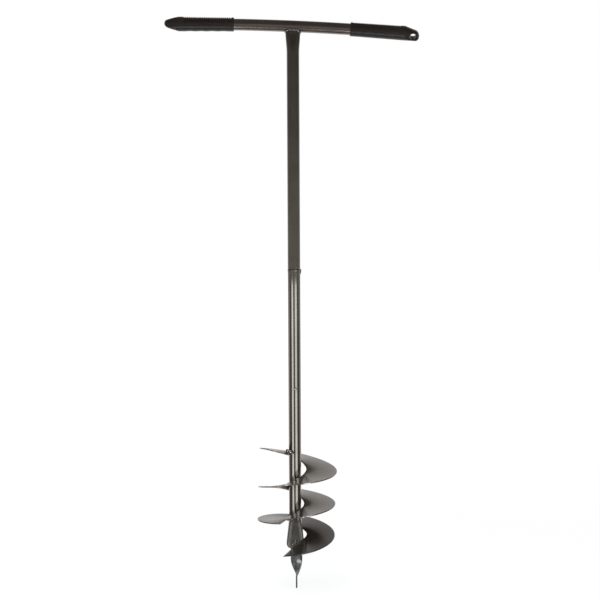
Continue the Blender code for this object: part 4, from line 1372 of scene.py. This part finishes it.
@dataclass
class Point:
    """The point: flat bar with its tang in the pressed tube, twisted a quarter turn and drawn to a tip.

    The shoulder and the last of the tip are rounded in width, and the tip is also drawn thin.
    """

    shaft: Shaft
    width: float = 22.6 * MM
    thickness: float = 3.0 * MM
    shift: float = 2.0 * MM
    tang_width: float = 18.0 * MM
    tang_length: float = 16.0 * MM
    tang_bevel: float = 0.3 * MM
    twist_top: float = 61.0 * MM
    twist_bottom: float = 26.0 * MM
    twist: float = math.radians(90.0)
    shoulder_height: float = 1.2 * MM
    shoulder_narrowing: float = 1.6 * MM
    body_top: float = 1.6 * MM
    shoulder_rows: int = 8
    first_row: float = 0.02 * MM
    tip_width: float = 2.4 * MM
    tip_height: float = 1.6 * MM
    tip_share: float = 0.35
    thin_height: float = 4.0 * MM
    thin_share: float = 0.80
    thin_power: float = 0.7
    edge: float = 0.5 * MM
    edge_share: float = 0.3
    rim_reach: float = 1.1 * MM
    sharp: float = 50.0
    rows: int = 260
    across: int = 25

    def build(self, finish: Material) -> None:
        """Loft rounded oblongs down the bar.

        The turn grows from 0 to a quarter between the twist's ends, and the width falls along a straight
        line to the tip. A ring is an oblong with quarter-circle corners, spun about the shaft's line.

        Args:
            finish: Material of the point.
        """
        shoulder = self.shaft.press_end - self.shaft.seat
        tang = shoulder + self.tang_length
        level = np.concatenate([
            [tang, tang - self.tang_bevel, shoulder],
            np.linspace(shoulder - self.first_row, shoulder - self.shoulder_height, self.shoulder_rows),
            np.linspace(shoulder - self.body_top, 0.0, self.rows)])[:, None]
        body = self.width + (self.tip_width - self.width) * portion(level, self.twist_bottom, 0.0)
        shouldered = rounded(portion(level, shoulder, shoulder - self.shoulder_height))
        body = body - self.shoulder_narrowing * (1.0 - shouldered)
        tip = rounded(portion(level, 0.0, self.tip_height))
        wide = np.where(level >= shoulder, self.tang_width, body)
        wide = wide * (self.tip_share + (1.0 - self.tip_share) * tip)
        thin = portion(level, 0.0, self.thin_height) ** self.thin_power
        thick = self.thickness * (self.thin_share + (1.0 - self.thin_share) * thin)
        spin = -self.twist * portion(level, self.twist_top, self.twist_bottom)
        edge = np.minimum(self.edge, self.edge_share * np.minimum(wide, thick))
        half_w, half_t = wide / 2.0 - edge, thick / 2.0 - edge
        aside, ahead = (part[None, :] for part in quarter(1.0, 5))
        across = np.linspace(-1.0, 1.0, self.across)[None, 1:-1]
        corner_x, corner_y = half_w + edge * ahead, half_t + edge * (1.0 - aside)
        side_x = beside(len(level), half_w * across, corner_x)
        side_y = beside(len(level), half_t + edge + np.zeros_like(across), corner_y)
        back_x, back_y = corner_x[:, ::-1], -corner_y[:, ::-1]
        x = np.concatenate([side_x, back_x, -side_x, -back_x], 1)
        y = np.concatenate([side_y, back_y, -side_y, -back_y], 1)
        rings = points(self.shift + x * np.cos(spin) - y * np.sin(spin),
                       x * np.sin(spin) + y * np.cos(spin), level)
        rim = fading(wide / 2.0 - np.abs(x), self.rim_reach)
        piece = skin("twisted_point", rings, Path.CAPPED, {"rim": rim}, self.sharp)
        dress(piece, finish, Slot.POINT, "point_blade")


@dataclass
class Welds:
    """All the beads that lie on the metal: at the handle, along the flights and at the point.

    A bead's thickness is end_share of the full one at its ends and grows by end_growth times the share
    of its length from there, until it is full. Scales and two sets of lumps run along and round it. A
    set is given by its turn to a millimetre along, its waves round the bead, and where it starts.
    """

    shaft: Shaft
    bar: Bar
    point: Point
    upper: Flight
    middle: Flight
    lower: Flight
    handle_radius: float = 1.5 * MM
    handle_stop: float = math.radians(8.0)
    flight_radius: float = 2.0 * MM
    flight_directions: Span = (math.radians(135.0), math.radians(222.0))
    free_end_radius: float = 3.2 * MM
    free_end_directions: Span = (math.radians(160.0), math.radians(262.0))
    joint_radius: float = 1.5 * MM
    joint_reach: float = 34.0 * MM
    end_left: float = -8.0 * MM
    end_right: float = 2.0 * MM
    point_radius: float = 1.7 * MM
    point_length: float = 16.0 * MM
    end_share: float = 0.45
    end_growth: float = 3.2
    swelling: float = 0.06
    scale_along: float = 2.3
    scale_bend: float = 0.5
    slow_lumps: Triple = (0.9, 2.0, 0.0)
    quick_lumps: Triple = (1.7, -3.0, 1.0)
    scale_depth: float = 0.07
    lump_depth: float = 0.03
    least_end: float = math.sqrt(0.02)
    crest_lumps: Span = (0.15, 0.8)
    crest_scales: float = 0.15
    crest_at_ends: float = 0.4
    glint: float = 0.75
    handle_glint: float = 1.0
    joint_glint: float = 0.4
    sharp: float = 80.0
    steps: int = 150
    sides: int = 20

    def build(self, finish: Material) -> None:
        """Lay every bead.

        Args:
            finish: Material of the beads.
        """
        share = np.linspace(0.0, 1.0, self.steps)
        stop = self.handle_stop
        for name, first, last in (("handle_weld_front", stop - math.pi, -stop),
                                  ("handle_weld_back", stop, math.pi - stop)):
            radius = self.swell(share, self.handle_radius, 5.0, first)
            line = self.handle(first + (last - first) * share, radius)
            self.lay(name, line, radius, finish, self.handle_glint)
        for name, flight, directions, size, waves, start in (
                ("upper_flight_weld", self.upper, self.free_end_directions, self.free_end_radius, 3.0, 0.4),
                ("middle_flight_weld", self.middle, self.flight_directions, self.flight_radius, 4.0, 1.1),
                ("lower_flight_weld", self.lower, self.flight_directions, self.flight_radius, 4.0, 2.3)):
            radius = self.swell(share, size, waves, start)
            direction = directions[0] + (directions[1] - directions[0]) * share
            self.lay(name, self.round_tube(flight, direction, radius), radius, finish)
        radius = self.swell(share, self.joint_radius, 3.0, 0.7)
        for name, flight in (("upper_joint_weld", self.middle), ("lower_joint_weld", self.lower)):
            self.lay(name, self.joint(share, flight, radius), radius, finish, self.joint_glint)
        radius = self.swell(share, self.flight_radius, 3.0, 1.9)
        self.lay("cutting_end_weld", self.cutting_end(share, radius), radius, finish)
        for name, side, start in (("point_weld_front", -1.0, 0.3), ("point_weld_back", 1.0, 1.4)):
            radius = self.swell(share, self.point_radius, 2.0, start)
            self.lay(name, self.at_point(share, side, radius), radius, finish)

    def swell(self, share: Array, size: float, waves: float, start: float) -> Array:
        """Radius of a bead along its length: thin ends, and ripples that no two beads share.

        Args:
            share: Places along the bead, from 0 to 1.
            size: Its full radius.
            waves: Waves along it.
            start: Where the first wave starts.

        Returns:
            The radii.
        """
        end = np.minimum(1.0, self.end_share + self.end_growth * np.minimum(share, 1.0 - share))
        ripple = 1.0 - self.swelling * (1.0 - np.sin(waves * FULL_TURN * share + start))
        return size * end * ripple

    def lay(self, node: str, line: Array, radius: Array, finish: Material,
            glint: float | None = None) -> None:
        """Make one bead: circles across a line, whose ends close in as a half ball does.

        The circles' size is multiplied by slow and quick waves along and round the bead, so that the
        solidified ripples lie like scales. A mark holds how high each point stands, times the glint, and
        the finish paints glints where it is high.

        Args:
            node: Node that the bead stands for.
            line: Points along the middle of the bead.
            radius: Its radius at each point.
            finish: Its material.
            glint: How strongly its high spots shine, from 0 to 1, or None for the usual.
        """
        along = np.concatenate([[0.0], np.cumsum(np.linalg.norm(np.diff(line, axis=0), axis=1))])
        left = portion(np.minimum(along, along[-1] - along), 0.0, radius.max())
        ball = np.maximum(rounded(left), self.least_end)[:, None]
        angle, travel = turns(self.sides)[None, :], along[:, None] / MM
        scales = np.abs(np.sin(travel * self.scale_along + self.scale_bend * np.cos(angle)))
        lumps = sum(0.5 * np.sin(travel * far + around * angle + start)
                    for far, around, start in (self.slow_lumps, self.quick_lumps))
        uneven = 1.0 - self.scale_depth * (1.0 - scales) + self.lump_depth * lumps
        size = (radius[:, None] * ball * uneven)[..., None]
        ahead = unit(np.gradient(line, axis=0))
        across = unit(np.cross(ahead, [0.0, 0.0, 1.0]))
        above = np.cross(across, ahead)
        rings = line[:, None] + size * (np.cos(angle)[..., None] * across[:, None]
                                        + np.sin(angle)[..., None] * above[:, None])
        crest = self.crest_scales * scales + (1.0 - self.crest_scales) * eased(lumps, *self.crest_lumps)
        crest = crest * (self.crest_at_ends + (1.0 - self.crest_at_ends) * ball)
        marks = {"crest": (self.glint if glint is None else glint) * crest}
        dress(skin("laid_" + node, rings, Path.CAPPED, marks, self.sharp), finish, Slot.WELD, node)

    def handle(self, angle: Array, radius: Array) -> Array:
        """Line in the corner between the oval tube and the bar: out from the oval, down from the bar.

        Args:
            angle: Angles about the shaft.
            radius: Radius of the bead at each.

        Returns:
            Points of the line.
        """
        off = self.shaft.seat + radius
        x, y = self.shaft.pressed(self.shaft.oval_half_depth, angle)
        x, y = x + off * np.cos(angle), y + off * np.sin(angle)
        return points(x, y, self.bar.underside(x, y, off))

    def round_tube(self, flight: Flight, direction: Array, radius: Array) -> Array:
        """Line on a flight against the tube.

        Args:
            flight: The flight.
            direction: Directions from the shaft's line, seen from above.
            radius: Radius of the bead at each.

        Returns:
            Points of the line.
        """
        held = np.minimum(direction, flight.top_angle)
        zero = np.zeros_like(held)
        off = self.shaft.half_width(flight.rise(zero, zero, held)) + self.shaft.seat + radius
        height = flight.top_over(off * np.cos(held), off * np.sin(held), held, radius)
        return points(off * np.cos(direction), off * np.sin(direction), height)

    def joint(self, share: Array, lower: Flight, radius: Array) -> Array:
        """Line along the butt between two flights, from just outside the tube outwards.

        Args:
            share: Places along the bead, from 0 to 1.
            lower: The flight on which the bead lies.
            radius: Radius of the bead at each place.

        Returns:
            Points of the line.
        """
        edge = lower.bottom_angle + FULL_TURN
        shift = np.array(lower.shift)
        inward = float(shift @ [math.cos(edge), math.sin(edge)])
        width = float(self.shaft.half_width(lower.rise(0.0, 0.0, edge)))
        clear = width + 2.0 * self.shaft.seat + self.joint_radius
        start = math.sqrt(inward ** 2 - float(shift @ shift) + clear ** 2) - inward
        reach = start + (self.joint_reach - start) * share
        direction = edge - (radius + self.shaft.seat) / reach
        x, y = reach * np.cos(direction) + shift[0], reach * np.sin(direction) + shift[1]
        return points(x, y, lower.top_over(x, y, direction, radius))

    def cutting_end(self, share: Array, radius: Array) -> Array:
        """Line between the pressed tube end and the lower end of the lowest flight.

        Args:
            share: Places along the bead, from 0 to 1.
            radius: Radius of the bead at each place.

        Returns:
            Points of the line.
        """
        x = self.end_left + (self.end_right - self.end_left) * share
        front = self.lower.pressed_front
        angle = np.maximum(self.lower.bottom_angle, np.arctan2(-front, x))
        height = self.lower.top_over(front / np.tan(-angle), np.full_like(x, -front), angle, radius)
        face = self.shaft.half_depth(height + radius)
        return points(x, -(face + 2.0 * self.shaft.seat + radius), height)

    def at_point(self, share: Array, side: float, radius: Array) -> Array:
        """Line in the corner between the mouth of the pressed end and a face of the point.

        Args:
            share: Places along the bead, from 0 to 1.
            side: -1 for the front face and 1 for the back.
            radius: Radius of the bead at each place.

        Returns:
            Points of the line.
        """
        x = self.point.shift / 2.0 + self.point_length * (share - 0.5)
        y = side * (self.point.thickness / 2.0 + self.shaft.seat + radius)
        return points(x, y, self.shaft.press_end - self.shaft.seat - radius)


@dataclass
class Camera:
    """The photograph's view: a long lens a little above the middle of the tool, tipped down and rolled."""

    name: str = "photo_camera"
    frame_pixels: float = 600.0
    focal_pixels: float = 1450.0
    sensor: float = 36.0
    metres_per_pixel: float = 1.9268 * MM
    aim_height: float = 563.5 * MM
    pitch: float = math.radians(3.78)
    roll: float = math.radians(0.294)
    axis_column: float = 294.18
    clip_start: float = 0.05
    clip_end: float = 60.0

    def build(self) -> None:
        """Place the scene's camera: its line of sight meets the shaft's line at the aim height."""
        data = bpy.data.cameras.new(self.name)
        data.sensor_width = self.sensor
        data.lens = self.sensor * self.focal_pixels / self.frame_pixels
        data.shift_x = (self.frame_pixels / 2.0 - self.axis_column) / self.frame_pixels
        data.clip_start, data.clip_end = self.clip_start, self.clip_end
        look = Vector((0.0, math.cos(self.pitch), -math.sin(self.pitch)))
        level = Vector((1.0, 0.0, 0.0))
        above = level.cross(look)
        right = level * math.cos(self.roll) - above * math.sin(self.roll)
        up = level * math.sin(self.roll) + above * math.cos(self.roll)
        place = Vector((0.0, 0.0, self.aim_height)) - look * self.focal_pixels * self.metres_per_pixel
        camera = add(self.name, data)
        camera.matrix_world = Matrix.Translation(place) @ Matrix((right, up, -look)).transposed().to_4x4()
        bpy.context.scene.camera = camera


@dataclass
class Lamp:
    """One soft rectangular lamp, unseen by the camera, that looks at a height on the shaft's line.

    mirrored says whether polished metal shows it, or whether it only fills.
    """

    name: str
    place: Triple
    aim_height: float
    size: Span
    power: float
    mirrored: bool = False
    colour: Colour = WHITE

    def build(self) -> None:
        """Add the lamp."""
        data = bpy.data.lights.new(self.name, "AREA")
        data.shape = "RECTANGLE"
        data.size, data.size_y = self.size
        data.energy, data.color = self.power, self.colour
        lamp = add(self.name, data)
        lamp.location = self.place
        lamp.rotation_mode = "QUATERNION"
        aim = Vector((0.0, 0.0, self.aim_height)) - Vector(self.place)
        lamp.rotation_quaternion = aim.to_track_quat("-Z", "Y")
        lamp.visible_camera = False
        lamp.visible_glossy = self.mirrored


@dataclass
class Studio:
    """A pale floor under soft lamps, with a white surround.

    What metal mirrors differs from what the eye sees. The mirrored floor is dim just before the tool
    and brighter towards the camera, brightest behind the tool and dimmer again further off. The
    mirrored room is bright behind the tool and low down, and dark above.
    """

    floor_size: float = 24.0
    floor_sides: int = 96
    floor_drop: float = 0.4 * MM
    floor_colour: Colour = (0.80, 0.80, 0.80)
    floor_glow: float = 0.80
    floor_light: float = 1.05
    floor_fade: Span = (0.5, 2.2)
    before_near: float = 0.22
    before_far: float = 0.40
    before_brightens: Span = (-1.5, -4.0)
    behind_near: float = 1.5
    behind_far: float = 0.9
    behind_begins: Span = (0.3, 0.6)
    behind_fades: Span = (0.9, 1.5)
    ambient: float = 0.40
    room: float = 0.20
    room_high: float = 0.10
    room_falls: Span = (0.45, 0.12)
    room_low: float = 0.60
    room_low_below: Span = (0.10, -0.06)
    back: float = 0.80
    back_begins: Span = (0.30, 0.60)
    back_below: Span = (0.90, 0.62)
    cool: Colour = (0.81, 0.92, 1.0)

    def lamps(self) -> list[Lamp]:
        """The lamps: fillers above, behind and at both sides, and two boxes that the tube mirrors."""
        return [
            Lamp("top_lamp", (-0.5, -0.3, 2.7), 0.3, (1.3, 1.3), 30.0),
            Lamp("left_key_lamp", (-0.42, -2.2, 1.15), 0.4, (0.5, 0.5), 8.5),
            Lamp("right_key_lamp", (0.26, -2.2, 1.15), 0.4, (0.5, 0.5), 8.5),
            Lamp("back_lamp", (0.5, 2.2, 1.9), 0.4, (1.6, 1.0), 14.0),
            Lamp("left_softbox", (-0.296, -0.438, 0.285), 0.285, (0.29, 0.57), 2.15, True, self.cool),
            Lamp("right_softbox", (0.258, -0.463, 0.285), 0.285, (0.35, 0.57), 2.55, True, self.cool),
        ]

    def build(self) -> None:
        """Make the floor, the world and the lamps."""
        self.floor()
        self.world()
        for lamp in self.lamps():
            lamp.build()

    def floor(self) -> None:
        """A round floor sheet just under the tip: white to the eye, with the tool's soft shadow kept."""
        graph = Graph(bpy.data.materials.new("floor_sheet"))
        camera, glossy, through = graph.rays()
        depth = graph.part(Axis.Y)
        mirrored = (self.before_near
                    + (self.before_far - self.before_near) * depth.ramp(*self.before_brightens)
                    + (self.behind_near - self.before_near) * depth.ramp(*self.behind_begins)
                    + (self.behind_far - self.behind_near) * depth.ramp(*self.behind_fades))
        light = glossy * mirrored + (1.0 - glossy) * self.floor_light
        away = graph.maths("SQRT", graph.part(Axis.X) ** 2.0 + depth ** 2.0)
        share = self.floor_glow + (1.0 - self.floor_glow) * away.ramp(*self.floor_fade)
        seen = graph.maths("MAXIMUM", graph.maths("MAXIMUM", camera, through) * share, glossy)
        matt = graph.node("ShaderNodeBsdfDiffuse", {}, {"Color": (*self.floor_colour, 1.0)})
        glow = graph.node("ShaderNodeEmission", {}, {"Color": (*WHITE, 1.0), "Strength": light})
        graph.end("Material", graph.node("ShaderNodeMixShader", {}, {
            0: seen, 1: matt.outputs[0], 2: glow.outputs[0]}))
        angle = FULL_TURN * np.arange(self.floor_sides) / self.floor_sides
        reach = self.floor_size / 2.0
        ring = points(reach * np.cos(angle), reach * np.sin(angle), np.array(-self.floor_drop))
        mesh = bpy.data.meshes.new("floor_sheet")
        mesh.from_pydata(ring.tolist(), [], [list(range(self.floor_sides))])
        mesh.materials.append(graph.owner)
        add("floor_sheet", mesh)

    def world(self) -> None:
        """White to the eye and in what metal mirrors from behind the tool; the room before it is dim."""
        world = bpy.data.worlds.new("surround")
        bpy.context.scene.world = world
        graph = Graph(world)
        camera, glossy, through = graph.rays()
        way = graph.value("Generated", "ShaderNodeTexCoord")
        height = graph.part(Axis.Z, way)
        front = (self.room_high + (self.room - self.room_high) * height.ramp(*self.room_falls)
                 + (self.room_low - self.room) * height.ramp(*self.room_low_below))
        back = graph.part(Axis.Y, way).ramp(*self.back_begins) * height.ramp(*self.back_below)
        room = front + (self.back - front) * back
        mirrored = graph.maths("MAXIMUM", glossy, through)
        level = camera + (1.0 - camera) * (mirrored * room + (1.0 - mirrored) * self.ambient)
        graph.end("World", graph.node("ShaderNodeBackground", {}, {
            "Color": (*WHITE, 1.0), "Strength": level}))


def make_finishes(shaft: Shaft) -> dict[Slot, Material]:
    """Make the materials.

    Args:
        shaft: The shaft, whose lacquer is tinted at the ring weld, and tinted with painted shade where the
            flights end on it.

    Returns:
        The material of each slot of the record.
    """
    # Brown marks on the shaft: temper tint with painted shade where the flights end on it, and a dark line at
    # the ring weld.
    flight_ends = tuple((height * MM, 14.0 * MM, 0.35) for height in (136.0, 203.0, 268.0))
    return {
        Slot.SHAFT: TubePaint("shaft_lacquer", (0.128, 0.112, 0.092), (0.156, 0.138, 0.114), Axis.Z,
                              scorched_and_shaded=(*flight_ends, (shaft.joint_height, 3.2 * MM, 2.0)),
                              dulled=(150.0 * MM, 125.0 * MM)).build(),
        Slot.BAR: TubePaint("bar_lacquer", (0.184, 0.149, 0.134), (0.212, 0.167, 0.143), Axis.X,
                            rough=0.22, scorched_and_shaded=((0.0, 26.0 * MM, 0.6),),
                            worn=(62.0 * MM, 93.0 * MM)).build(),
        Slot.FLIGHT: PlatePaint("flight_satin").build(),
        Slot.POINT: PointPaint("point_worn").build(),
        Slot.WELD: WeldMetal("weld_metal").build(),
        Slot.RUBBER: GripRubber("grip_moulding").build(),
    }


def main() -> None:
    """Build the studio, then the tool's looks."""
    logging.basicConfig(level=logging.INFO, format="%(name)s: %(message)s")
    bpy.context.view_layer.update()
    Camera().build()
    Studio().build()
    bar = Bar()
    shaft = Shaft(bar)
    finishes = make_finishes(shaft)
    point = Point(shaft)
    upper = Flight("upper_plate", "upper_flight", 236.0 * MM, 70.6 * MM, (0.074, -0.014),
                   (6.3 * MM, 0.2 * MM), (21.8 * MM, 15.6 * MM, 15.6 * MM), shaft,
                   top_angle=math.radians(213.0), end_drop=16.0 * MM)
    middle = Flight("middle_plate", "middle_flight", 167.5 * MM, 63.0 * MM, (0.014, -0.034),
                    (3.0 * MM, 1.2 * MM), (17.1 * MM, 15.4 * MM, 13.6 * MM), shaft)
    lower = Flight("lower_plate", "lower_flight", 106.0 * MM, 62.2 * MM, (0.002, 0.090),
                   (1.6 * MM, -1.4 * MM), (22.0 * MM, 14.4 * MM, 12.4 * MM), shaft,
                   pressed_below=math.radians(58.0), ground=3.0 * MM)
    bar.build(finishes[Slot.BAR])
    for side, turn in ((Side.LEFT, -90.0), (Side.RIGHT, 33.5)):
        label = side.name.lower()
        grip = Grip(f"{label}_rubber_grip", f"{label}_grip", side, math.radians(turn), bar)
        grip.build(finishes[Slot.RUBBER])
    shaft.build(finishes[Slot.SHAFT])
    for flight in (upper, middle, lower):
        flight.build(finishes[Slot.FLIGHT])
    point.build(finishes[Slot.POINT])
    Welds(shaft, bar, point, upper, middle, lower).build(finishes[Slot.WELD])
    bpy.context.scene.view_settings.view_transform = "Standard"


if __name__ == "__main__":
    main()
